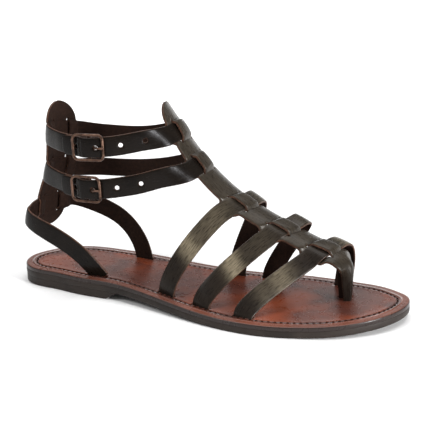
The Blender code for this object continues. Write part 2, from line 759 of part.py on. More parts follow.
def make_ankle_strap(row):
    """One long strip: its tip over the buckle, once round the ankle, its end round the bar."""
    bounds = row.bar + np.array([-NEAR_BAR, NEAR_BAR, FAR_ROUND, FULL_TURN])
    turns = [np.arange(start, end, step) for start, end, step in zip(bounds, bounds[1:], TURN_STEPS)]
    turns = np.append(np.concatenate(turns), bounds[-1])
    points, normals = ankle_loop(row, turns)
    lengths = chord_lengths(points)
    from_bar = lengths - np.interp(row.bar, turns, lengths)
    used = from_bar > -BILLET_LAP
    points, normals, from_bar = points[used], normals[used], from_bar[used]
    lap = blend_rows(LAP, np.clip(from_bar / BUCKLE_HALF, LAP[0].share, LAP[-1].share))
    lift = lap[:, 0] * UNDER_LIFT + lap[:, 1] * OVER_LIFT
    points = points + normals * lift[:, None]
    matrix, place, along, normal = bar_frame(row)
    hook = (place + along * (np.sin(HOOK_TURNS) * BAR_HEIGHT)[:, None]
            + normal * ((1.0 - np.cos(HOOK_TURNS)) * BAR_HEIGHT)[:, None])
    hook_hints = normal * np.cos(HOOK_TURNS)[:, None] - along * np.sin(HOOK_TURNS)[:, None]
    strap = Strap(np.vstack([points, hook]), np.vstack([normals, hook_hints]), ANKLE_STRAP_WIDTH)
    bar_at = strap.route.marks[np.argmin(np.abs(from_bar))]
    hook_at = strap.route.marks[len(points) - 1]
    lap_end = bar_at - LAP[0].share * BUCKLE_HALF
    rows = np.concatenate([np.arange(0.0, lap_end, BUCKLE_HALF / BUCKLE_ROWS),
                           np.linspace(lap_end, hook_at, LOOP_ROWS)[1:],
                           np.linspace(hook_at, strap.route.length, HOOK_ROWS)[1:]])
    piece = strap.build(row.name, rows)
    holes = bar_at + PEG_SHARE * BUCKLE_HALF + STRAP_HOLE_PITCH * np.arange(-1, STRAP_HOLES - 1)
    mesh = punch_mesh(row.name + "_holes", strap.route.at(holes), strap.normal(holes),
                      PUNCH_DIAMETER, PUNCH_DEPTH)
    combine(piece, add_cutter(row.name + "_holes", mesh), "DIFFERENCE")
    depth = 4.0 * BAR_HEIGHT
    slot = box_mesh(row.name + "_slot", (depth, PEG_DIAMETER + 2.0 * SLOT_CLEARANCE, depth))
    slot.transform(Matrix.Translation((depth / 2.0 - PEG_DIAMETER, 0.0, STRAP_THICKNESS)))
    combine(piece, add_cutter(row.name + "_slot", slot, matrix), "DIFFERENCE")
    make_buckle(row.buckle, matrix)


def bar_frame(row):
    """The buckle's matrix on its ankle loop, and its place, forward and outward directions."""
    points, normals = ankle_loop(row, row.bar + np.array([-1.0, 0.0, 1.0]))
    along = unit(points[2] - points[0])
    normal = unit(normals[1] - along * (normals[1] @ along))
    return frame_matrix(points[1], along, np.cross(normal, along), normal), points[1], along, normal


def make_buckle(name, matrix):
    """A rounded frame, its lower centre bar and the prong, joined in one casting."""
    half_y = ANKLE_STRAP_WIDTH / 2.0 + BUCKLE_MARGIN
    corner = np.radians(np.linspace(0.0, 90.0, 5))
    ring = []
    for x_sign, y_sign, start in ((1, 1, 0), (-1, 1, 90), (-1, -1, 180), (1, -1, 270)):
        x = x_sign * (BUCKLE_HALF - BUCKLE_CORNER)
        y = y_sign * (half_y - BUCKLE_CORNER)
        ring += [(x + BUCKLE_CORNER * np.cos(turn), y + BUCKLE_CORNER * np.sin(turn), FRAME_HEIGHT)
                 for turn in corner + np.radians(start)]
    piece = add_piece(name, tube_mesh(name, ring, BUCKLE_WIRE / 2.0, closed=True), "buckle")
    piece.matrix_local = matrix
    bar = [(0.0, -half_y, FRAME_HEIGHT), (0.0, -half_y, BAR_HEIGHT),
           (0.0, half_y, BAR_HEIGHT), (0.0, half_y, FRAME_HEIGHT)]
    low = BAR_HEIGHT + (BUCKLE_WIRE - PEG_DIAMETER) / 2.0
    tip = FRAME_HEIGHT + (BUCKLE_WIRE + PEG_DIAMETER) / 2.0 + FIT_GAP
    hole = PEG_SHARE * BUCKLE_HALF
    prong = [(0.0, 0.0, low), (hole - PEG_BEND, 0.0, low), (hole, 0.0, low + PEG_BEND),
             (hole, 0.0, tip - PEG_BEND), (hole + PEG_BEND, 0.0, tip),
             (BUCKLE_HALF + BUCKLE_WIRE / 2.0, 0.0, tip)]
    for part, points, diameter in (("_bar", bar, BUCKLE_WIRE), ("_prong", prong, PEG_DIAMETER)):
        mesh = tube_mesh(name + part, points, diameter / 2.0)
        combine(piece, add_cutter(name + part, mesh, matrix), "UNION")


def profile_mesh(name, top, bottom, start, end, front_slope=0.0):
    """A side profile, given as two height functions, made a solid across the sole."""
    places = np.linspace(start, end, PROFILE_POINTS)
    upper = [(x, top(x)) for x in places]
    shares = (places - start) / (end - start)
    lower = [(start + (end - front_slope - start) * share, bottom(start + (end - start) * share))
             for share in shares[::-1]]
    upright = Matrix(((1, 0, 0, 0), (0, 0, -1, 0), (0, 1, 0, 0), (0, 0, 0, 1)))
    return flat_mesh(name, upper + lower, 2.0 * BALL_WIDTH, upright)


def make_sole():
    """Insole, outsole and heel block: side profiles cut to the plan outline."""
    plan = flat_mesh("plan", plan_outline(OUTLINE_POINTS), SOLE_LENGTH / 4.0)
    cutter = add_cutter("plan", plan)
    start, end = -PLAN_MARGIN, SOLE_LENGTH + PLAN_MARGIN
    insole = add_piece("insole", profile_mesh(
        "insole", top_height, lambda x: top_height(x) - INSOLE_THICKNESS, start, end), "insole")
    outsole = add_piece("outsole", profile_mesh(
        "outsole", lambda x: top_height(x) - INSOLE_THICKNESS - FIT_GAP,
        lambda x: top_height(x) - FOREFOOT_TOP, start, end), "sole")
    block_end = HEEL_BLOCK_LENGTH + HEEL_BLOCK_SLOPE
    block = add_piece("heel_block", profile_mesh(
        "heel_block", lambda x: top_height(x) - FOREFOOT_TOP - FIT_GAP, lambda x: 0.0,
        start, block_end, HEEL_BLOCK_SLOPE), "sole")
    for piece in (insole, outsole, block):
        combine(piece, cutter, "INTERSECT")
    return insole


def cut_slot(insole, name, point, direction, length, width):
    """Cuts a slot of this length along a direction through the insole."""
    size = (length + 2.0 * SLOT_CLEARANCE, width + 2.0 * SLOT_CLEARANCE, 8.0 * INSOLE_THICKNESS)
    box = box_mesh(name, size)
    matrix = frame_matrix(point, direction, np.cross((0.0, 0.0, 1.0), direction), (0.0, 0.0, 1.0))
    combine(insole, add_cutter(name, box, matrix), "DIFFERENCE")


for item in list(bpy.data.objects):
    bpy.data.objects.remove(item)
sandal = bpy.data.collections.new("strappy_sandal")
cutters = bpy.data.collections.new("cutters")
for collection in (sandal, cutters):
    bpy.context.scene.collection.children.link(collection)
materials = {name: make_material(name) for name in COLOURS}

outline = plan_outline(OUTLINE_POINTS)
root = bpy.data.objects.new("sandal_root", None)
sandal.objects.link(root)
root.location = (-(outline[:, 0].min() + outline[:, 0].max()) / 2.0,
                 -(outline[:, 1].min() + outline[:, 1].max()) / 2.0, 0.0)

spine = Strip([(row.along * SOLE_LENGTH, row.inward * BALL_WIDTH, row.height * SPINE_HEIGHT)
               for row in SPINE], 1.0, SPINE_WIDTH, INSTEP_RADIUS,
              [row.roll * SPINE_ROLL for row in SPINE], SPINE_BAND_RISE)
back = Strip([(row.along * SOLE_LENGTH, 0.0, row.height * BACK_HEIGHT) for row in BACK],
             -1.0, BACK_WIDTH, HEEL_RADIUS, [row.roll * BACK_ROLL for row in BACK], BACK_BAND_RISE)
spine_marks = dict(zip([row.place for row in SPINE], spine.route.marks))
back_marks = dict(zip([row.place for row in BACK], back.route.marks))
crossings = {}
for row in ANKLE:
    crossings["spine_" + row.crossing] = spine.cross(spine_marks[row.crossing], ANKLE_STRAP_WIDTH)
    crossings["back_" + row.crossing] = back.cross(back_marks[row.crossing], ANKLE_STRAP_WIDTH)
for row in VAMP:
    crossings[row.crossing] = spine.cross(spine_marks[row.crossing], VAMP_STRAP_WIDTH,
                                          row.near_lean, row.far_lean, row.arch, 1.0)
crossings["heel_strap"] = back.cross(back_marks["heel_strap"], HEEL_STRAP_WIDTH)
spine.straight_at = spine_marks["bend"]

insole = make_sole()
make_spine()
make_back()
for strip, piece_name in ((spine, "instep_strap"), (back, "back_piece")):
    places, directions = strip.punches()
    mesh = punch_mesh(piece_name + "_punches", places, directions, PUNCH_DIAMETER, PUNCH_DEPTH)
    combine(bpy.data.objects[piece_name], add_cutter(piece_name + "_punches", mesh), "DIFFERENCE",
            folded=True)
for row in VAMP:
    make_vamp_strap(row)
make_heel_strap()
slots = [(row.name, {-1: row.near, 1: row.far}, VAMP_STRAP_WIDTH) for row in VAMP]
slots.append(("heel_strap", HEEL_SLOTS, HEEL_STRAP_WIDTH))
for strap_name, sides, width in slots:
    for side, along in sides.items():
        point, direction, _ = slot_place(along, side)
        label = f"{strap_name}_slot_{'near' if side < 0 else 'far'}"
        cut_slot(insole, label, point, direction, width, STRAP_THICKNESS)
post_point, _, _, _ = spine.frame(np.array(spine.route.length))
post_point[0] -= POST_WIDTH / 4.0
cut_slot(insole, "post_slot", post_point, np.array([1.0, 0.0, 0.0]),
         POST_WIDTH / 2.0 + SPINE_THICKNESS * 1.5, POST_WIDTH * 0.6)
for row in ANKLE:
    make_ankle_strap(row)
bpy.context.view_layer.update()
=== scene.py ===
import bmesh
import bpy
import numpy as np
from mathutils import Matrix


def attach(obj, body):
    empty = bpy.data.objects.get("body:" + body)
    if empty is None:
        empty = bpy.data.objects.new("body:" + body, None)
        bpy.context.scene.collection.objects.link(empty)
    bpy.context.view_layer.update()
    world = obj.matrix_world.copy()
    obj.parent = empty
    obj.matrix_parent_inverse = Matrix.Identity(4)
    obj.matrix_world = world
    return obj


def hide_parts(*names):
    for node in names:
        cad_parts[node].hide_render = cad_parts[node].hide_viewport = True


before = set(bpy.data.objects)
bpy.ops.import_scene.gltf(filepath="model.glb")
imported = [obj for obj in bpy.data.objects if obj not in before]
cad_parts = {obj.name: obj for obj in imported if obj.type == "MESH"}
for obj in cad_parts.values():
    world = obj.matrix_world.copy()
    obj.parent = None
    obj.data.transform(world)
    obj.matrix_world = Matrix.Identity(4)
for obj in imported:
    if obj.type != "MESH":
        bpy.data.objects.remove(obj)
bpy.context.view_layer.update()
print("frame loaded:", len(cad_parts), "solids")

# all lengths in metres, x from the heel to the toes, y towards the inner side of the foot


def unitRows(v):
    # each vector over its own length
    return v / np.linalg.norm(v, axis=-1, keepdims=True)


def ease(t):
    # three t squared less two t cubed: from 0 to 1 with level ends
    t = np.clip(t, 0.0, 1.0)
    return t * t * (3.0 - 2.0 * t)


def cubicThrough(knots, values, places):
    # natural cubic through the values, second derivatives from the tridiagonal system
    knots = np.asarray(knots, float)
    values = np.asarray(values, float)
    places = np.asarray(places, float)
    if values.ndim == 1:
        return cubicThrough(knots, values[:, None], places)[:, 0]
    gap = np.diff(knots)
    slope = np.diff(values, axis=0) / gap[:, None]
    n = len(knots)
    system = np.eye(n)
    inner = np.arange(1, n - 1)
    system[inner, inner - 1] = gap[:-1]
    system[inner, inner] = 2.0 * (gap[:-1] + gap[1:])
    system[inner, inner + 1] = gap[1:]
    bend = np.zeros_like(values)
    bend[1:-1] = 6.0 * np.diff(slope, axis=0)
    bend = np.linalg.solve(system, bend)
    cell = np.clip(np.searchsorted(knots, places, side="right") - 1, 0, n - 2)
    h = gap[cell][:, None]
    b = (places - knots[cell])[:, None] / h
    a = 1.0 - b
    bow = (a ** 3 - a) * bend[cell] + (b ** 3 - b) * bend[cell + 1]
    return a * values[cell] + b * values[cell + 1] + bow * h ** 2 / 6.0


def travelled(points):
    # way along a line of points: the running sum of its steps' lengths
    return np.concatenate(([0.0], np.cumsum(np.linalg.norm(np.diff(points, axis=0), axis=1))))


class Path:
    # a smooth line through points, read by the length travelled

    def __init__(self, points, samples=900):
        knots = travelled(np.asarray(points, float))
        places = np.linspace(0.0, knots[-1], samples)
        self.points = cubicThrough(knots, points, places)
        self.lengths = travelled(self.points)
        self.length = self.lengths[-1]
        self.marks = np.interp(knots, places, self.lengths)
        self.step = self.length / samples

    def at(self, s):
        # place at a way along, straight between the nearest samples
        return np.stack([np.interp(s, self.lengths, self.points[:, k]) for k in range(3)], axis=-1)

    def along(self, s):
        # direction: from a little before to a little behind, over its own length
        s = np.clip(s, 2.0 * self.step, self.length - 2.0 * self.step)
        return unitRows(self.at(s + 2.0 * self.step) - self.at(s - 2.0 * self.step))


sole = {
    "length": 0.250, "heelWidth": 0.0588, "waistWidth": 0.0647, "ballWidth": 0.0863,
    "insole": 0.0025, "outsole": 0.0036, "heelBlock": 0.0048, "heelLength": 0.070,
    "heelSlope": 0.008, "toeSpring": 0.0040, "gap": 0.0003, "seam": 0.00005,
    "waistStart": 0.25, "waistEnd": 0.64, "springStart": 0.72,
    "ringPoints": 420, "edgeRound": 0.0008, "edgeDrop": 0.7, "rimReach": 0.0095,
    "channelInset": 0.0068, "channelDepth": 0.00040, "channelWidth": 0.0008,
    "coreHeel": 0.030, "coreToe": 0.036, "seatDip": 0.0002, "seatReach": 0.004,
    "outsoleRound": 0.0003, "outsoleDip": 0.00012, "coreRings": 15, "coreReach": 0.02,
    "insoleBulge": 0.0001, "outsoleBulge": 0.0002, "merge": 0.00003,
    "strapInset": 0.0090, "slotSpare": 0.0005, "slotDepth": 0.0032,
    # along, width used, share of it to the outer side, share to the inner side
    "outline": [
        (0.000, "heelWidth", 0.000, 0.000), (0.020, "heelWidth", 0.267, 0.223),
        (0.060, "heelWidth", 0.381, 0.415), (0.120, "heelWidth", 0.413, 0.522),
        (0.200, "heelWidth", 0.464, 0.536), (0.300, "waistWidth", 0.440, 0.473),
        (0.420, "waistWidth", 0.532, 0.468), (0.550, "ballWidth", 0.496, 0.388),
        (0.650, "ballWidth", 0.538, 0.436), (0.720, "ballWidth", 0.532, 0.467),
        (0.790, "ballWidth", 0.487, 0.461), (0.860, "ballWidth", 0.416, 0.430),
        (0.920, "ballWidth", 0.305, 0.377), (0.965, "ballWidth", 0.173, 0.286),
        (0.990, "ballWidth", 0.048, 0.207), (1.000, "ballWidth", -0.112, 0.112),
    ],
}


def outlineRing(count):
    # closed cubic through the outline's stations, from the heel along the outer side
    rows = sole["outline"]
    outer = [(a * sole["length"], -o * sole[w]) for a, w, o, i in rows]
    inner = [(a * sole["length"], i * sole[w]) for a, w, o, i in rows[1:-1]]
    ring = np.array(outer + inner[::-1])
    lap = 4
    wrapped = np.vstack([ring[-lap:], ring, ring[:lap + 1]])
    knots = travelled(wrapped)
    places = np.linspace(knots[lap], knots[lap + len(ring)], count, endpoint=False)
    return cubicThrough(knots, wrapped, places)


fineRing = outlineRing(1600)
middle = (fineRing.min(axis=0) + fineRing.max(axis=0)) / 2.0
shift = np.array([-middle[0], -middle[1], 0.0])
toeIndex = int(np.argmax(fineRing[:, 0]))
outerEdge = fineRing[:toeIndex + 1]
innerEdge = np.vstack([fineRing[toeIndex:], fineRing[:1]])[::-1]
forefootTop = sole["insole"] + sole["gap"] + sole["outsole"]


def edgeY(x, side):
    # the outline at x, read off its outer or inner line
    line = outerEdge if side < 0 else innerEdge
    order = np.argsort(line[:, 0])
    return np.interp(x, line[order, 0], line[order, 1])


def topHeight(x):
    # level heel, eased drop over the waist, level ball, toes rising with the square of the way
    share = np.asarray(x) / sole["length"]
    drop = 1.0 - ease((share - sole["waistStart"]) / (sole["waistEnd"] - sole["waistStart"]))
    spring = np.clip((share - sole["springStart"]) / (1.0 - sole["springStart"]), 0.0, None) ** 2
    return forefootTop + (sole["heelBlock"] + sole["gap"]) * drop + sole["toeSpring"] * spring


def slotPlace(along, side):
    # where a strap goes into the insole: point, edge direction and outward direction
    x = along * sole["length"]
    step = 0.01 * sole["length"]
    y = edgeY(np.array([x - step, x, x + step]), side)
    direction = unitRows(np.array([2.0 * step, y[2] - y[0], 0.0]))
    outward = np.array([direction[1], -direction[0], 0.0]) * -side
    point = np.array([x, y[1], 0.0]) - outward * sole["strapInset"]
    point[2] = topHeight(point[0])
    return point, direction, outward


def addObject(name, data):
    # an object in the scene with the mesh, camera or light given
    thing = bpy.data.objects.new(name, data)
    bpy.context.scene.collection.objects.link(thing)
    return thing


def newPiece(name, mesh, slot, *nodes):
    # a piece on the one body, standing for the CAD nodes named, if any
    piece = addObject(name, mesh)
    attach(piece, "root")
    if nodes:
        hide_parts(*nodes)
    return piece


def cadNode(name):
    # the CAD's name of a piece: each capital becomes an underscore and a small letter
    return "".join("_" + letter.lower() if letter.isupper() else letter for letter in name)


def fillMesh(name, verts, faces, uv=None, materialIndex=None, attributes=None):
    # smooth mesh moved by the shift, with the leather's UV and named values at its points
    mesh = bpy.data.meshes.new(name)
    mesh.from_pydata((verts + shift).tolist(), [], faces)
    if uv is not None:
        layer = mesh.uv_layers.new(name="leatherUV")
        corners = np.zeros(len(mesh.loops), np.int32)
        mesh.loops.foreach_get("vertex_index", corners)
        layer.data.foreach_set("uv", uv[corners].astype(np.float32).ravel())
    if materialIndex is not None:
        mesh.polygons.foreach_set("material_index", materialIndex.astype(np.int32))
    for label, values in (attributes or {}).items():
        attribute = mesh.attributes.new(label, "FLOAT", "POINT")
        attribute.data.foreach_set("value", values.astype(np.float32).ravel())
    mesh.shade_smooth()
    mesh.update()
    return mesh


def turnOutwards(mesh, merge=0.0):
    # merges doubles within a distance, then turns every face outwards
    shape = bmesh.new()
    shape.from_mesh(mesh)
    if merge > 0.0:
        bmesh.ops.remove_doubles(shape, verts=shape.verts, dist=merge)
    bmesh.ops.recalc_face_normals(shape, faces=shape.faces)
    shape.to_mesh(mesh)
    shape.free()
    return mesh


def tubeFaces(rows, columns, closed=False):
    # quads between each row of points and the next; every row is closed on itself
    index = np.arange(rows * columns).reshape(rows, columns)
    if closed:
        index = np.vstack([index, index[:1]])
    aside = np.roll(index, -1, axis=1)
    return np.stack([index[:-1], index[1:], aside[1:], aside[:-1]], axis=-1).reshape(-1, 4)


def capFaces(rows, columns):
    # the first row as one face, and the last row the other way round
    end = rows * columns
    return [list(range(columns)), list(range(end - 1, end - columns - 1, -1))]


def inwardOf(ring):
    # the ring's direction in plan, turned a quarter to its inside
    ahead = unitRows(np.roll(ring, -1, axis=0) - np.roll(ring, 1, axis=0))
    return np.stack([-ahead[:, 1], ahead[:, 0]], axis=-1)


def basisMatrix(right, up, away, place):
    # three directions and a place as the matrix's columns
    return Matrix([[right[k], up[k], away[k], place[k]] for k in range(3)] + [[0, 0, 0, 1]])


strap = {
    "thickness": 0.0017, "vampWidth": 0.0116, "ankleWidth": 0.0118, "heelWidth": 0.0118,
    "edgeRound": 0.0007, "wearReach": 0.0009, "rowStep": 0.0006, "cup": 0.0003,
    "columnStep": 0.0011, "holedColumnStep": 0.0007, "tip": 0.0045, "tipPower": 3.2,
    "tipDepth": 0.86, "highlightLean": 0.25,
}


def rimDistance(d, reach):
    # height share of a rounded edge: a quarter circle over the reach, on a short upright wall
    t = np.clip(d / reach, 0.0, 1.0)
    return 0.42 + 0.58 * np.sqrt(1.0 - (1.0 - t) ** 2)


class Leather:
    # a grid of lengths u and reaches v, cut by open cells and round punches, then given a wall

    def __init__(self, u, v, missing=None):
        self.u = u.copy()
        self.v = v.copy()
        rows, columns = u.shape
        self.missing = np.zeros((rows - 1, columns - 1), bool) if missing is None else missing
        self.distance = np.full(u.shape, 1.0)

    def nearEdge(self, distance):
        # keeps the smaller distance to a cut edge at each point
        self.distance = np.minimum(self.distance, distance)

    def punch(self, u0, v0, radius, lean=0.0):
        # cells whose middle lies in the circle go, and their remaining corners move onto it
        du = self.u - u0 + (self.v - v0) * lean
        dv = self.v - v0
        far = np.hypot(du, dv)
        cu = (du[1:, 1:] + du[:-1, :-1] + du[1:, :-1] + du[:-1, 1:]) / 4.0
        cv = (dv[1:, 1:] + dv[:-1, :-1] + dv[1:, :-1] + dv[:-1, 1:]) / 4.0
        gone = np.hypot(cu, cv) < radius
        self.missing = self.missing | gone
        touched = np.zeros(self.u.shape, bool)
        kept = np.zeros(self.u.shape, bool)
        for rows in (slice(1, None), slice(None, -1)):
            for columns in (slice(1, None), slice(None, -1)):
                touched[rows, columns] |= gone
                kept[rows, columns] |= ~self.missing
        rim = touched & kept
        pull = np.where(rim, radius / np.maximum(far, 1e-6), 1.0)
        newDv = dv * pull
        newDu = du * pull - newDv * lean
        self.v = np.where(rim, v0 + newDv, self.v)
        self.u = np.where(rim, u0 + newDu, self.u)
        self.nearEdge(np.where(rim, 0.0, np.maximum(far - radius, 0.0)))

    def mesh(self, name, points, normals, thickness, pull=None):
        # outer and inner skin half a thickness off the middle surface, joined by the cut edge
        rows, columns = self.u.shape
        half = thickness / 2.0 * rimDistance(self.distance, strap["edgeRound"])
        outer = points + normals * half[..., None]
        inner = points - normals * half[..., None]
        index = np.arange(rows * columns).reshape(rows, columns)
        quads = np.stack([index[:-1, :-1], index[:-1, 1:], index[1:, 1:], index[1:, :-1]], axis=-1)
        quads = quads[~self.missing].reshape(-1, 4)
        edges = np.concatenate([quads[:, [k, (k + 1) % 4]] for k in range(4)])
        keys = edges[:, 0].astype(np.int64) * (rows * columns) + edges[:, 1]
        back = edges[:, 1].astype(np.int64) * (rows * columns) + edges[:, 0]
        rim = edges[~np.isin(keys, back)]
        total = rows * columns
        under = quads[:, ::-1] + total
        wall = np.stack([rim[:, 1], rim[:, 0], rim[:, 0] + total, rim[:, 1] + total], axis=-1)
        faces = np.vstack([quads, under, wall])
        kind = np.concatenate([np.zeros(len(quads)), np.ones(len(under)), np.full(len(wall), 2)])
        verts = np.vstack([outer.reshape(-1, 3), inner.reshape(-1, 3)])
        uv = np.stack([self.u.ravel(), self.v.ravel()], axis=-1)
        wear = np.clip(1.0 - self.distance.ravel() / strap["wearReach"], 0.0, 1.0)
        used, compact = np.unique(faces, return_inverse=True)
        # the painted sheen at each point, none unless given
        pull = np.zeros(total) if pull is None else pull.ravel()
        wear, pull = np.tile(wear, 2)[used], np.tile(pull, 2)[used]
        return fillMesh(name, verts[used], compact.reshape(-1, 4).tolist(),
                        np.tile(uv, (2, 1))[used], kind, {"edgeWear": wear, "paintedSheen": pull})


def acrossColumns(half, step):
    # reaches from edge to edge, close together where the edge is rounded
    edge = np.array([0.0, 0.00010, 0.00026, 0.00048, strap["edgeRound"]])
    count = int(np.ceil(2.0 * (half - edge[-1]) / step)) + 1
    body = np.linspace(-half + edge[-1], half - edge[-1], count)
    return np.concatenate([-half + edge[:-1], body, half - edge[:-1][::-1]])


def bandMesh(name, path, hints, width, tip=0.0, holes=(), highlightBands=()):
    # a band carried along a path: its face turns with the hints at the path's marks, its
    # section is slightly cupped, and its tip narrows with a power of the way to the end
    half = width / 2.0
    s = np.linspace(0.0, path.length, int(path.length / strap["rowStep"]) + 1)
    step = strap["holedColumnStep"] if len(holes) else strap["columnStep"]
    u, v = np.meshgrid(s, acrossColumns(half, step), indexing="ij")
    narrow = np.clip(1.0 - u / max(tip, 1e-9), 0.0, 1.0)
    shrink = (1.0 - narrow ** strap["tipPower"] * strap["tipDepth"]) ** 0.5
    sheet = Leather(u, v * shrink if tip > 0.0 else v)
    sheet.nearEdge(np.maximum(half * shrink - np.abs(sheet.v), 0.0))
    if tip > 0.0:
        sheet.nearEdge(u)
    for place, radius in holes:
        sheet.punch(place, 0.0, radius)
    hint = np.stack([np.interp(sheet.u, path.marks, hints[:, k]) for k in range(3)], axis=-1)
    along = path.along(sheet.u)
    normal = unitRows(hint - along * np.sum(hint * along, axis=-1, keepdims=True))
    across = np.cross(along, normal)
    cup = strap["cup"] * (1.0 - (sheet.v / half) ** 2)
    points = path.at(sheet.u) + across * sheet.v[..., None] + normal * cup[..., None]
    # painted highlight: bell-shaped bands of lighter tone, by the way along the strap
    pull = np.zeros_like(sheet.u)
    for place, reach, strength in highlightBands:
        way = sheet.u + strap["highlightLean"] * sheet.v - place
        pull += strength * np.exp(-(way / reach) ** 2)
    return sheet.mesh(name, points, normal, strap["thickness"], pull)


crossing = {
    "gap": 0.0001, "slack": 0.0001, "slitWidth": 0.0006, "slitSpare": 0.0010, "rampInside": 0.0015,
    "bandShare": 0.50, "bandCrown": 0.0006, "punchRadius": 0.00055, "backLean": -0.14,
    "leanTurn": 0.003, "edgeBend": 0.0075, "bendSpare": 0.002, "bendRamp": 0.005,
}


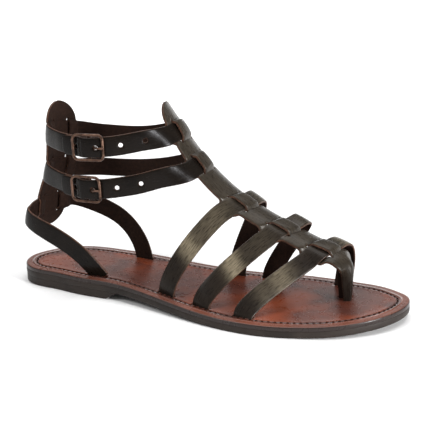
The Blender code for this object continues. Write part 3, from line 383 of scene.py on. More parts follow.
class Strip:
    # the instep strap and the back piece: crowned, with slits, a raised band and lowered margins

    def __init__(self, spec):
        place = [(a * sole["length"], i * sole["ballWidth"], h * spec["height"])
                 for _, a, h, i, _ in spec["route"]]
        self.spec = spec
        self.path = Path(place)
        self.names = [row[0] for row in spec["route"]]
        self.rolls = np.array([row[4] for row in spec["route"]]) * spec["roll"]
        self.half = spec["width"] / 2.0
        self.height = spec["thickness"] + strap["thickness"] + 2.0 * crossing["gap"] + crossing["slack"]
        self.crossings = []
        self.straightAt = self.path.length

    def mark(self, name):
        # way along the strip to a named place of its route
        return self.path.marks[self.names.index(name)]

    def frameAt(self, s):
        # place, direction, across and up; across and up are turned by the roll between marks
        along = self.path.along(s)
        side = np.array([0.0, self.spec["side"], 0.0])
        across = unitRows(side - along * (along @ side)[..., None])
        normal = np.cross(along, across)
        roll = np.interp(s, self.path.marks, self.rolls)[..., None]
        across = across * np.cos(roll) + normal * np.sin(roll)
        return self.path.at(s), along, across, np.cross(along, across)

    def edgeDrop(self, reach, bend):
        # past the outer slit the margin turns down on a circle, square of the way over its width
        past = np.clip(-reach - crossing["bandShare"] * self.half, 0.0, None)
        return bend * past ** 2 / (2.0 * crossing["edgeBend"]), bend * past / crossing["edgeBend"]

    def lay(self, name, width, lean=(0.0, 0.0), arch=0.0, bend=0.0):
        # a strap laid over the margins: points across the strip and the strap's outward directions
        place = self.mark(name)
        self.crossings.append((place, width * np.sqrt(1.0 + np.mean(lean) ** 2) / 2.0, lean, bend))
        share = np.array([-1.06, -0.7, -0.35, 0.0, 0.35, 0.7, 1.06])
        reach = share * self.half
        point, _, across, normal = self.frameAt(place + self.leanTo(reach, *lean))
        lift = (self.spec["thickness"] + strap["thickness"] + crossing["slack"]) / 2.0 + crossing["gap"]
        lift = lift - (1.0 - self.spec["bandRise"]) * self.height
        hump = arch * ease((share - crossing["bandShare"]) / crossing["bandShare"])
        down, slope = self.edgeDrop(reach, bend)
        drop = reach ** 2 / (2.0 * self.spec["radius"]) - hump + down
        points = point + across * reach[:, None] + normal * (lift - drop)[:, None]
        return points, unitRows(normal + across * (reach / self.spec["radius"] - slope)[:, None])

    def leanTo(self, reach, outside, inside):
        # way along the strip at a reach: a hyperbola that joins the two sides' leans
        turn = crossing["leanTurn"]
        mean, spread = (inside + outside) / 2.0, (inside - outside) / 2.0
        return mean * reach + spread * (np.hypot(reach, turn) - turn)

    def leanAt(self, s, reach):
        # the crossings' leans, shared out between them and none at the post
        places = np.array([place for place, _, _, _ in self.crossings] + [self.straightAt])
        leans = np.array([lean for _, _, lean, _ in self.crossings] + [(0.0, 0.0)])
        order = np.argsort(places)
        outside, inside = (np.interp(s, places[order], leans[order, side]) for side in (0, 1))
        return self.leanTo(reach, outside, inside)

    def mesh(self, name, halves, fold):
        # rows along the strip, columns as shares of the half width: margin, slit and band. The
        # band goes up and the margins down at a crossing, and the fold turns the sides back
        inner = crossing["bandShare"]
        outer = inner + crossing["slitWidth"] / self.half
        rim = np.array([0.0, 0.00010, 0.00028, strap["edgeRound"]]) / self.half
        margin = np.concatenate([1.0 - rim, np.linspace(1.0 - rim[-1], outer + rim[-1], 5)[1:],
                                 outer + rim[-2::-1]])
        band = np.concatenate([inner - rim, np.linspace(inner - rim[-1], 0.0, 7)[1:]])
        right = np.concatenate([band[::-1], margin[::-1]])
        share = np.concatenate([-right[::-1], right[1:]])
        places = [np.arange(0.0, self.path.length, strap["rowStep"]), [self.path.length]]
        for place, footprint, _, _ in self.crossings:
            ends = footprint + crossing["slitSpare"]
            places.append([place - ends, place + ends])
        s = np.unique(np.concatenate(places))
        keep = np.concatenate([[True], np.diff(s) > 0.00015])
        s = s[keep]
        width = halves(s)
        u, v = np.meshgrid(s, share, indexing="ij")
        v = v * width[:, None]
        centre = (s[1:] + s[:-1]) / 2.0
        slit = np.zeros(len(centre), bool)
        for place, footprint, _, _ in self.crossings:
            slit |= np.abs(centre - place) < footprint + crossing["slitSpare"]
        middleShare = np.abs(share[1:] + share[:-1]) / 2.0
        slitCell = (middleShare > inner) & (middleShare < outer)
        sheet = Leather(u, v, slit[:, None] & slitCell[None, :])
        sheet.nearEdge(np.maximum(width[:, None] - np.abs(v), 0.0))
        slitMiddle = (inner + outer) / 2.0 * self.half
        for place, footprint, lean, _ in self.crossings:
            ends = footprint + crossing["slitSpare"]
            beside = np.maximum(np.abs(np.abs(v) - slitMiddle) - crossing["slitWidth"] / 2.0, 0.0)
            beyond = np.maximum(np.abs(u - place) - ends, 0.0)
            sheet.nearEdge(np.hypot(beside, beyond))
            for end in (-1.0, 1.0):
                for hand in (-1.0, 1.0):
                    sheet.punch(place + end * ends, hand * slitMiddle, crossing["punchRadius"],
                                lean[0] if hand < 0 else lean[1])
        isBand = np.abs(share) < (inner + outer) / 2.0
        level = np.where(isBand, self.spec["bandRise"], self.spec["bandRise"] - 1.0)[None, :]
        parting = np.zeros_like(sheet.u)
        crown = np.zeros_like(sheet.u)
        bent = np.zeros_like(sheet.u)
        for place, footprint, _, bend in self.crossings:
            ends = footprint + crossing["slitSpare"]
            offset = np.abs(sheet.u - place)
            parting += ease((ends - offset) / (crossing["slitSpare"] + crossing["rampInside"]))
            bent += bend * ease((ends + crossing["bendSpare"] - offset) / crossing["bendRamp"])
            crown += np.clip(1.0 - (offset / footprint) ** 2, 0.0, 1.0)
        lift = self.height * level * parting + np.where(isBand, crossing["bandCrown"], 0.0)[None, :] * crown
        length = np.clip(sheet.u + self.leanAt(sheet.u, sheet.v), 0.0, self.path.length)
        point, along, across, normal = self.frameAt(length)
        turn = fold(sheet.u)
        reach = sheet.v + spine["foldAside"] * turn / spine["fold"]
        flat = np.minimum(np.abs(reach), spine["foldFlat"])
        leg = np.abs(reach) - flat
        sideways = np.sign(reach) * (flat + leg * np.cos(turn)) - (reach - sheet.v)
        drop = leg * np.sin(turn) + reach ** 2 / (2.0 * self.spec["radius"]) * (1.0 - np.sin(turn))
        down, slope = self.edgeDrop(sheet.v, bent)
        points = point + across * sideways[..., None] + normal * (lift - drop - down)[..., None]
        lengthwise = np.gradient(points, axis=0)
        folded = turn * ease((np.abs(reach) - spine["foldFlat"] * 0.4) / (spine["foldFlat"] * 1.2))
        curve = np.arctan(reach / self.spec["radius"] - slope) * (1.0 - np.sin(turn))
        tilt = np.sign(reach) * folded + curve
        acrossTilted = across * np.cos(tilt)[..., None] - normal * np.sin(tilt)[..., None]
        face = unitRows(np.cross(lengthwise, acrossTilted))
        # painted sheen: even over the strip, fading where it folds down into the post
        pull = self.spec["pull"] * (1.0 - turn / spine["fold"])
        return sheet.mesh(name, points, face, self.spec["thickness"], pull)


spine = {
    "thickness": 0.0020, "width": 0.0215, "postWidth": 0.0170, "postFoot": 0.0130,
    "height": 0.120, "radius": 0.028, "roll": np.radians(8.0), "bandRise": 0.50,
    "foldFlat": 0.0012, "foldAside": 0.0020, "fold": np.radians(76.0),
    # pull is the strength of the painted sheen, a lighter streaky tone over the strip
    "taperBefore": 0.0020, "taperLonger": 0.0060, "side": 1.0, "tabRound": 0.985, "pull": 0.09,
    # place, share of the length, share of the height, share of the ball width inwards, roll
    "route": [
        ("tip", 0.404, 1.000, 0.000, -1.60), ("ankleUpper", 0.4435, 0.864, 0.000, -0.30),
        ("ankleLower", 0.4965, 0.706, 0.008, 0.60), ("vampRear", 0.600, 0.513, 0.035, 1.00),
        ("vampMid", 0.700, 0.400, 0.065, 1.00), ("vampFront", 0.798, 0.310, 0.090, 1.00),
        ("shoulder", 0.840, 0.277, 0.096, 1.00), ("bend", 0.859, 0.245, 0.099, 0.50),
        ("post", 0.864, 0.180, 0.101, 0.00), ("foot", 0.861, 0.040, 0.103, 0.00),
    ],
}
back = {
    "thickness": 0.0020, "width": 0.0265, "height": 0.117, "radius": 0.030, "bandRise": 0.45,
    # pull is the strength of the painted sheen, a lighter streaky tone over the strip
    "side": -1.0, "tabRound": 0.985, "roll": np.radians(14.0), "pull": 0.10,
    "route": [
        ("tip", 0.110, 1.000, 0.0, 1.00), ("ankleUpper", 0.101, 0.842, 0.0, 0.60),
        ("ankleLower", 0.089, 0.640, 0.0, 0.60), ("heelStrap", 0.057, 0.425, 0.0, 0.72),
        ("foot", 0.058, 0.300, 0.0, 0.85),
    ],
}
vampStraps = {
    # crossing, outer slot, inner slot, lean outside and inside, arch over the inner margin
    "vampStrapRear": ("vampRear", 0.438, 0.544, 0.52, 0.17, 0.0018),
    "vampStrapMid": ("vampMid", 0.540, 0.632, 0.52, 0.33, 0.0030),
    "vampStrapFront": ("vampFront", 0.657, 0.829, 0.52, 0.33, 0.0022),
}


def tabHalves(strip, tail=False, taper=None):
    # half widths along a strip: a round end is a circle of half the width
    def halves(s):
        head = np.clip(1.0 - s / strip.half, 0.0, 1.0)
        foot = np.zeros_like(head)
        if tail:
            foot = np.clip(1.0 - (strip.path.length - s) / strip.half, 0.0, 1.0)
        wide = strip.half * np.sqrt(1.0 - np.maximum(head, foot) ** 2 * strip.spec["tabRound"])
        if taper is None:
            return wide
        share = taper(s)
        post = strip.mark("post")
        narrow = ease((s - post) / (strip.path.length - post))
        postHalf = (spine["postWidth"] * (1.0 - narrow) + spine["postFoot"] * narrow) / 2.0
        return wide * (1.0 - share) + postHalf * share
    return halves


spineStrip = Strip(spine)
backStrip = Strip(back)
laid = {}
for crossingName in ("ankleUpper", "ankleLower"):
    laid["front" + crossingName] = spineStrip.lay(crossingName, strap["ankleWidth"])
    laid["rear" + crossingName] = backStrip.lay(crossingName, strap["ankleWidth"],
                                                (crossing["backLean"], 0.0))
for crossingName, _, _, leanOut, leanIn, arch in vampStraps.values():
    laid[crossingName] = spineStrip.lay(crossingName, strap["vampWidth"], (leanOut, leanIn), arch, 1.0)
laid["heelStrap"] = backStrip.lay("heelStrap", strap["heelWidth"])
spineStrip.straightAt = spineStrip.mark("bend")


def postTaper(s):
    # eased share of the post's width, from a little before the shoulder to past the post
    shoulder, post = spineStrip.mark("shoulder"), spineStrip.mark("post")
    return ease((s - shoulder + spine["taperBefore"]) / (post - shoulder + spine["taperLonger"]))


spineMesh = spineStrip.mesh("instepLeather", tabHalves(spineStrip, taper=postTaper),
                            lambda s: spine["fold"] * postTaper(s))
instepPiece = newPiece("instepLeather", spineMesh, "strap", "instep_strap")
backMesh = backStrip.mesh("backLeather", tabHalves(backStrip, tail=True), np.zeros_like)
backPiece = newPiece("backLeather", backMesh, "strap", "back_piece")
strapPieces = [instepPiece, backPiece]
print("instep strap and back piece cut")

# share of the height gone straight up at the slot, and radius of the bend below the crossing
vampSides = {-1: (0.30, 0.006), 1: (0.30, 0.028)}
# painted highlights: share of the strap's length, reach and strength of each band of lighter tone, the same
# from both ends
paintedHighlights = {
    "vampStrapRear": [(0.212, 0.0062, 1.00), (0.34, 0.0130, 0.38)],
    "vampStrapMid": [(0.222, 0.0056, 1.05), (0.36, 0.0120, 0.12)],
    "vampStrapFront": [(0.275, 0.0075, 0.55), (0.16, 0.0060, 0.20)],
}


def vampHalf(crossingName, along, side):
    # cubic from the slot, first straight up, to the laid end, arriving in line with it
    points, normals = laid[crossingName]
    foot, _, outward = slotPlace(along, side)
    last, before = (0, 1) if side < 0 else (-1, -2)
    end, normal = points[last], normals[last]
    up = np.array([0.0, 0.0, 1.0])
    rise, bend = vampSides[side]
    low = foot + up * rise * (end[2] - foot[2])
    toward = unitRows(end - points[before])
    offset = low - end
    drop = np.linalg.norm(offset - toward * (offset @ toward))
    high = end + toward * np.sqrt(2.0 / 3.0 * drop * bend)
    t = np.linspace(0.0, 1.0, 9)[:, None]
    r = 1.0 - t
    curve = r ** 3 * foot + 3.0 * r ** 2 * t * low + 3.0 * r * t ** 2 * high + t ** 3 * end
    turn = ease(t)
    hints = outward * (1.0 - turn) + normal * turn
    curve = np.vstack([foot - up * sole["insole"] / 2.0, curve])
    return curve[:-1], np.vstack([outward, hints])[:-1]


for name, (crossingName, outerSlot, innerSlot, _, _, _) in vampStraps.items():
    outerPoints, outerHints = vampHalf(crossingName, outerSlot, -1)
    innerPoints, innerHints = vampHalf(crossingName, innerSlot, 1)
    points, normals = laid[crossingName]
    route = Path(np.vstack([outerPoints, points, innerPoints[::-1]]))
    hints = np.vstack([outerHints, normals, innerHints[::-1]])
    highlightBands = []
    for share, reach, strength in paintedHighlights[name]:
        highlightBands += [(share * route.length, reach, strength),
                  ((1.0 - share) * route.length, reach, strength)]
    mesh = bandMesh(name, route, hints, strap["vampWidth"], highlightBands=highlightBands)
    strapPieces.append(newPiece(name, mesh, "strap", cadNode(name)))


heelStrap = {
    "outer": [(0.215, 0.40, 0.197), (0.130, 0.47, 0.328), (0.054, 0.36, 0.412)],
    "inner": [(0.283, 0.36, 0.170), (0.235, 0.42, 0.285), (0.140, 0.44, 0.375), (0.078, 0.35, 0.415)],
    "outerSlot": 0.244, "innerSlot": 0.293, "centre": 0.12, "sink": 0.0022,
}


def heelHalf(side, rows, slot):
    # from the insole's slot through rows of shares of sole length, heel width and back height
    foot, _, outward = slotPlace(slot, side)
    places = [np.array([a * sole["length"], side * across * sole["heelWidth"], h * back["height"]])
              for a, across, h in rows]
    line = [foot - unitRows(places[0] - foot) * heelStrap["sink"], foot] + places
    centre = heelStrap["centre"] * sole["length"]
    faces = [outward, outward]
    faces += [unitRows(np.array([min(place[0] - centre, 0.0), place[1], 0.0])) for place in places]
    return line, faces


outerLine, outerFaces = heelHalf(-1, heelStrap["outer"], heelStrap["outerSlot"])
innerLine, innerFaces = heelHalf(1, heelStrap["inner"], heelStrap["innerSlot"])
points, normals = laid["heelStrap"]
heelPath = Path(np.vstack([outerLine, points[::-1], innerLine[::-1]]))
heelHints = np.vstack([outerFaces, normals[::-1], innerFaces[::-1]])
heelMesh = bandMesh("heelStrap", heelPath, heelHints, strap["heelWidth"])
strapPieces.append(newPiece("heelStrap", heelMesh, "strap", "heel_strap"))
print("vamp straps and heel strap laid")

ankle = {
    "halfWidth": 0.034, "sag": 0.010, "loopStep": 12.0, "loopClear": 38.0, "lap": 0.020,
    "holePitch": 0.0145, "holes": 4, "holeRadius": 0.00135, "pegShare": 0.53,
    # turn from the back along the outer side, rise of the upper loop, rise of the lower loop
    "rises": [
        (0.0, 0.00, 0.00), (45.0, -0.15, -0.35), (90.0, -0.38, -0.73), (125.0, -0.28, -0.50),
        (150.0, -0.08, -0.16), (180.0, 0.00, 0.00), (210.0, -0.10, -0.10), (235.0, -0.55, -0.55),
        (270.0, -0.95, -0.98), (315.0, -0.60, -0.60), (360.0, 0.00, 0.00),
    ],
    # place from the bar in half buckles, lift over the lower layer, lift over the bar
    "lapRows": [
        (-2.40, 1.00, 0.00), (-0.82, 1.00, 0.00), (-0.25, 0.00, 1.00), (0.58, 0.00, 1.00),
        (0.98, 1.00, 0.00), (2.30, 0.00, 0.00),
    ],
    # piece: crossing, turn of the buckle's bar, column in the rises
    "loops": {"ankleStrapUpper": ("ankleUpper", 91.0, 1), "ankleStrapLower": ("ankleLower", 82.0, 2)},
}
buckle = {
    "length": 0.0215, "margin": 0.0015, "wire": 0.0018, "corner": 0.0032, "prong": 0.0013,
    # shares of the wire, power of its section, where the bar bends, bend of the prong
    "wireWide": 0.44, "wireHigh": 0.42, "wirePower": 0.75, "barShare": 0.9,
    "kneeOut": 0.0002, "kneeIn": 0.0012, "pegBend": 0.6,
}


def loopKnots(crossingName, column):
    # an ellipse between the two crossings with the rises added, and the laid points themselves
    front, frontNormals = laid["front" + crossingName]
    rear, rearNormals = laid["rear" + crossingName]
    frontMiddle, rearMiddle = front[len(front) // 2], rear[len(rear) // 2]
    step = ankle["loopStep"]
    turns = np.arange(-8.0 * step, 360.0 + 8.0 * step + 1.0, step)
    turns = turns[np.abs(np.mod(turns + 90.0, 180.0) - 90.0) > ankle["loopClear"]]
    angle = np.radians(turns)
    points = rearMiddle + (frontMiddle - rearMiddle) * ((1.0 - np.cos(angle)) / 2.0)[:, None]
    points[:, 1] -= ankle["halfWidth"] * np.sin(angle)
    table = np.array(ankle["rises"])
    points[:, 2] += ankle["sag"] * cubicThrough(table[:, 0], table[:, column], np.mod(turns, 360.0))
    halfLength = (frontMiddle[0] - rearMiddle[0]) / 2.0
    outward = unitRows(np.stack([-np.cos(angle) * ankle["halfWidth"], -np.sin(angle) * halfLength,
                                 np.zeros_like(angle)], axis=-1))
    frontTurns = 180.0 + np.degrees(np.arcsin(front[:, 1] / ankle["halfWidth"]))
    rearTurns = -np.degrees(np.arcsin(rear[:, 1] / ankle["halfWidth"]))
    turns = np.concatenate([turns, frontTurns, rearTurns, 360.0 + rearTurns])
    points = np.vstack([points, front, rear, rear])
    outward = np.vstack([outward, frontNormals, rearNormals, rearNormals])
    order = np.argsort(turns)
    return turns[order], points[order], outward[order]


halfBuckle = (buckle["length"] - buckle["wire"]) / 2.0
barHeight = strap["thickness"] / 2.0 + crossing["gap"] + buckle["wire"] / 2.0
underLift = strap["thickness"] + crossing["gap"]
overLift = barHeight + buckle["wire"] / 2.0 + crossing["gap"] + strap["thickness"] / 2.0
frameHeight = underLift + strap["thickness"] / 2.0 + crossing["gap"] + buckle["wire"] / 2.0


def blendRows(table, places):
    # eased values between a table's rows, by their first column
    table = np.array(table)
    cell = np.clip(np.searchsorted(table[:, 0], places, side="right") - 1, 0, len(table) - 2)
    t = ease((places - table[cell, 0]) / (table[cell + 1, 0] - table[cell, 0]))[:, None]
    return table[cell, 1:] * (1.0 - t) + table[cell + 1, 1:] * t


def ankleRoute(crossingName, barTurn, column):
    # tip over the buckle, once round the ankle under itself, end hooked round the bar
    knots, loopPoints, loopNormals = loopKnots(crossingName, column)
    loop = lambda t: (cubicThrough(knots, loopPoints, t), unitRows(cubicThrough(knots, loopNormals, t)))
    # rows close together at the buckle and wide apart round the ankle
    turns = np.concatenate([np.arange(barTurn - 60.0, barTurn + 60.0, 2.0),
                            np.arange(barTurn + 60.0, barTurn + 330.0, 6.0),
                            np.arange(barTurn + 330.0, barTurn + 360.1, 3.0)])
    points, normals = loop(turns)
    fromBar = travelled(points)
    fromBar = fromBar - np.interp(barTurn, turns, fromBar)
    used = fromBar > -ankle["lap"] - 0.0005
    points, normals, fromBar = points[used], normals[used], fromBar[used]
    shares = np.clip(fromBar / halfBuckle, ankle["lapRows"][0][0], ankle["lapRows"][-1][0])
    lap = blendRows(ankle["lapRows"], shares)
    points = points + normals * (lap[:, 0] * underLift + lap[:, 1] * overLift)[:, None]
    place, normal = loop(np.array([barTurn - 1.0, barTurn, barTurn + 1.0]))
    along = unitRows(place[2] - place[0])
    place, normal = place[1], unitRows(normal[1] - along * (normal[1] @ along))
    bend = np.radians([25.0, 50.0, 75.0, 100.0])
    hook = (place + along * (np.sin(bend) * barHeight)[:, None]
            + normal * ((1.0 - np.cos(bend)) * barHeight)[:, None])
    hookHints = normal * np.cos(bend)[:, None] - along * np.sin(bend)[:, None]
    route = Path(np.vstack([points, hook]), 1400)
    barAt = route.marks[np.argmin(np.abs(fromBar[:40]))]
    return route, np.vstack([normals, hookHints]), barAt, (place, along, normal)


def ringMesh(path, upward, section, closed, spot):
    # rows are the path's points, columns the section's; open ends are closed by a flat cap
    ahead = np.roll(path, -1, axis=0) - np.roll(path, 1, axis=0)
    if not closed:
        ahead[0], ahead[-1] = path[1] - path[0], path[-1] - path[-2]
    ahead = unitRows(ahead)
    up = unitRows(np.array(upward) - ahead * np.sum(upward * ahead, axis=-1, keepdims=True))
    side = np.cross(ahead, up)
    verts = path[:, None] + side[:, None] * section[None, :, :1] + up[:, None] * section[None, :, 1:2]
    rows, columns = verts.shape[:2]
    faces = tubeFaces(rows, columns, closed).tolist()
    if not closed:
        faces += capFaces(rows, columns)
    place, along, normal = spot
    across = np.cross(normal, along)
    flat = verts.reshape(-1, 3)
    return place + flat[:, :1] * along + flat[:, 1:2] * across + flat[:, 2:] * normal, faces


def superSection(halfWide, halfHigh, power, count):
    # rounded rectangle: both coordinates are signed powers of cosine and sine
    a = np.linspace(0.0, 2.0 * np.pi, count, endpoint=False)
    c, s = np.cos(a), np.sin(a)
    return np.stack([halfWide * np.sign(c) * np.abs(c) ** power,
                     halfHigh * np.sign(s) * np.abs(s) ** power], axis=-1)


def buckleMesh(name, spot):
    # frame, dropped bar and prong, joined in one mesh
    halfY = strap["ankleWidth"] / 2.0 + buckle["margin"]
    corner, wire, peg = buckle["corner"], buckle["wire"], buckle["prong"]
    ring = []
    for signX, signY, start in ((1, 1, 0), (-1, 1, 90), (-1, -1, 180), (1, -1, 270)):
        a = np.radians(start + np.linspace(0.0, 90.0, 9))
        ring.append(np.stack([signX * (halfBuckle - corner) + corner * np.cos(a),
                              signY * (halfY - corner) + corner * np.sin(a),
                              np.full_like(a, frameHeight)], axis=-1))
    flatWire = superSection(wire * buckle["wireWide"], wire * buckle["wireHigh"], buckle["wirePower"], 16)
    parts = [ringMesh(np.vstack(ring), (0.0, 0.0, 1.0), flatWire, True, spot)]
    kneeHeight = (frameHeight + barHeight) / 2.0
    kneeOut, kneeIn = buckle["kneeOut"], buckle["kneeIn"]
    bar = np.array([(0.0, -halfY, frameHeight), (0.0, -halfY + kneeOut, kneeHeight),
                    (0.0, -halfY + kneeIn, barHeight), (0.0, 0.0, barHeight),
                    (0.0, halfY - kneeIn, barHeight), (0.0, halfY - kneeOut, kneeHeight),
                    (0.0, halfY, frameHeight)])
    bar = Path(bar).at(np.linspace(0.0, travelled(bar)[-1], 40))
    barHalf = wire / 2.0 * buckle["barShare"]
    barSection = superSection(barHalf, barHalf, 1.0, 12)
    parts.append(ringMesh(bar, (1.0, 0.0, 0.0), barSection, False, spot))
    low = barHeight + (wire - peg) / 2.0
    tip = frameHeight + wire / 2.0 + peg / 2.0 + crossing["gap"]
    hole = ankle["pegShare"] * halfBuckle
    soft = buckle["pegBend"] * peg
    prong = np.array([(0.0, 0.0, low), (hole - soft, 0.0, low), (hole, 0.0, low + soft),
                      (hole, 0.0, tip - soft), (hole + soft, 0.0, tip),
                      (halfBuckle + wire / 2.0, 0.0, tip)])
    prong = Path(prong).at(np.linspace(0.0, travelled(prong)[-1], 36))
    pegSection = superSection(peg / 2.0, peg / 2.0, 1.0, 12)
    parts.append(ringMesh(prong, (0.0, 1.0, 0.0), pegSection, False, spot))
    faces, start = [], 0
    for partVerts, partFaces in parts:
        faces += [[k + start for k in face] for face in partFaces]
        start += len(partVerts)
    return turnOutwards(fillMesh(name, np.vstack([partVerts for partVerts, _ in parts]), faces))


bucklePieces = []
for name, (crossingName, barTurn, column) in ankle["loops"].items():
    route, hints, barAt, spot = ankleRoute(crossingName, barTurn, column)
    places = barAt + ankle["pegShare"] * halfBuckle + ankle["holePitch"] * np.arange(-1, ankle["holes"] - 1)
    holes = [(place, ankle["holeRadius"]) for place in places]
    mesh = bandMesh(name, route, hints, strap["ankleWidth"], tip=strap["tip"], holes=holes)
    strapPieces.append(newPiece(name, mesh, "strap", cadNode(name)))
    buckleName = name.replace("ankleStrap", "buckle")
    bucklePieces.append(newPiece(buckleName, buckleMesh(buckleName, spot), "buckle", cadNode(buckleName)))
print("ankle straps and buckles fastened")


def layerMesh(name, top, bottom, topDips, bulge):
    # rings of the outline moved inwards, then drawn to the sole's middle line; the top ring
    # dips with its distance from the edge, and the wall bulges by a half sine wave
    ring = outlineRing(sole["ringPoints"])
    inward = inwardOf(ring)
    near = np.array([0.0, 0.00012, 0.0003, 0.0006, 0.001, 0.002, 0.0035, 0.005])
    groove = np.array([-2.4, -1.5, -0.9, -0.45, 0.0, 0.45, 0.9, 1.5, 2.4])
    depths = np.concatenate([near, sole["channelInset"] + sole["channelWidth"] * groove,
                             [sole["rimReach"]]])
    low, high = sole["coreHeel"], sole["length"] - sole["coreToe"]
    spreadX = np.clip(low + (ring[:, 0]) * (high - low) / sole["length"], low, high)
    core = np.stack([spreadX, (edgeY(spreadX, -1) + edgeY(spreadX, 1)) / 2.0], axis=-1)
    rings = [ring + inward * d for d in depths]
    last = rings[-1]
    shares = np.linspace(0.0, 1.0, sole["coreRings"] + 1)[1:]
    rings += [last * (1.0 - t) + core * t for t in shares]
    distances = np.concatenate([depths, sole["rimReach"] + shares * sole["coreReach"]])
    plan = np.array(rings)
    upper = np.concatenate([plan, top(plan[..., 0])[..., None]], axis=-1)
    upper[..., 2] -= topDips(distances)[:, None]
    edgeTop, edgeBottom = upper[0, :, 2], bottom(ring[:, 0])
    shares = np.array([0.05, 0.2, 0.5, 0.8, 0.95])
    walls = [np.column_stack([ring - inward * bulge * np.sin(np.pi * t),
                              edgeTop * (1.0 - t) + edgeBottom * t]) for t in shares]
    lower = np.concatenate([plan[::3], bottom(plan[::3, :, 0])[..., None]], axis=-1)
    levels = np.concatenate([upper[::-1], np.array(walls), lower])
    rows, columns = levels.shape[:2]
    rim = np.concatenate([distances[::-1], np.zeros(len(shares)), distances[::3]])
    mesh = fillMesh(name, levels.reshape(-1, 3), tubeFaces(rows, columns).tolist(),
                    attributes={"rimDistance": np.repeat(rim, columns)})
    return turnOutwards(mesh, sole["merge"])


def insoleDip(d):
    # rounded edge, the stitched channel as a bell-shaped groove, and a slight dip inside it
    edge = 1.0 - np.sqrt(1.0 - (1.0 - np.clip(d / sole["edgeRound"], 0.0, 1.0)) ** 2)
    groove = sole["channelDepth"] * np.exp(-((d - sole["channelInset"]) / sole["channelWidth"]) ** 2)
    seat = sole["seatDip"] * ease((d - sole["channelInset"]) / sole["seatReach"])
    return sole["edgeRound"] * edge * sole["edgeDrop"] + groove + seat


def plainDip(d):
    # a small edge, rounded by the square of the way left
    return sole["outsoleDip"] * (1.0 - np.clip(d / sole["outsoleRound"], 0.0, 1.0)) ** 2


insoleMesh = layerMesh("insoleLeather", topHeight, lambda x: topHeight(x) - sole["insole"],
                       insoleDip, sole["insoleBulge"])
insolePiece = newPiece("insoleLeather", insoleMesh, "insole", "insole")
outsoleMesh = layerMesh("outsoleLeather", lambda x: topHeight(x) - sole["insole"] - sole["seam"],
                        lambda x: topHeight(x) - forefootTop, plainDip, sole["outsoleBulge"])
outsolePiece = newPiece("outsoleLeather", outsoleMesh, "sole", "outsole")


def heelMeshOf(name):
    # sections from top to floor: the outline up to a front line that slopes back downwards
    levels = []
    share = np.concatenate([[0.0, 0.04], np.linspace(0.12, 0.88, 5), [0.96, 1.0]])
    tuck = np.array([0.0001, 0.0, 0.0, 0.0, 0.0, 0.0, 0.0, 0.0, 0.0003])
    half = np.linspace(0.0, 1.0, 60)
    for t, inset in zip(share, tuck):
        front = sole["heelLength"] + sole["heelSlope"] * (1.0 - t)
        x = front * half ** 2
        upper = topHeight(x) - forefootTop - sole["seam"]
        z = upper * (1.0 - t)
        outer = np.column_stack([x + inset * (1.0 - half), edgeY(x, -1) + inset, z])
        inner = np.column_stack([x + inset * (1.0 - half), edgeY(x, 1) - inset, z])
        cross = np.linspace(0.0, 1.0, 24)[1:-1, None]
        frontLine = outer[-1] * (1.0 - cross) + inner[-1] * cross
        levels.append(np.vstack([outer, frontLine, inner[:0:-1]]))
    levels = np.array(levels)
    rows, columns = levels.shape[:2]
    faces = tubeFaces(rows, columns).tolist() + capFaces(rows, columns)
    return turnOutwards(fillMesh(name, levels.reshape(-1, 3), faces))


heelPiece = newPiece("heelLayer", heelMeshOf("heelLayer"), "sole", "heel_block")
bevel = heelPiece.modifiers.new("softEdges", "BEVEL")
bevel.width = 0.00015
bevel.segments = 2
bevel.limit_method = "ANGLE"
print("sole layers built")


def slotCutter(name):
    # one mesh of boxes, a little larger than each strap's section, through the insole's top
    shape = bmesh.new()
    slots = [(slotPlace(row[1], -1), strap["vampWidth"]) for row in vampStraps.values()]
    slots += [(slotPlace(row[2], 1), strap["vampWidth"]) for row in vampStraps.values()]
    slots += [(slotPlace(heelStrap["outerSlot"], -1), strap["heelWidth"]),
              (slotPlace(heelStrap["innerSlot"], 1), strap["heelWidth"])]
    for (point, direction, outward), width in slots:
        across = np.cross((0.0, 0.0, 1.0), direction)
        matrix = basisMatrix(direction, across, (0.0, 0.0, 1.0), point + shift)
        spare = 2.0 * sole["slotSpare"]
        size = (width + spare, strap["thickness"] + spare, sole["slotDepth"])
        matrix = matrix @ Matrix.Diagonal((*size, 1.0))
        bmesh.ops.create_cube(shape, size=1.0, matrix=matrix)
    mesh = bpy.data.meshes.new(name)
    shape.to_mesh(mesh)
    shape.free()
    return mesh


stitching = {"pitch": 0.0036, "length": 0.0025, "radius": 0.00052, "sink": 0.00030,
             "lineSamples": 1800, "endDive": 1.3}


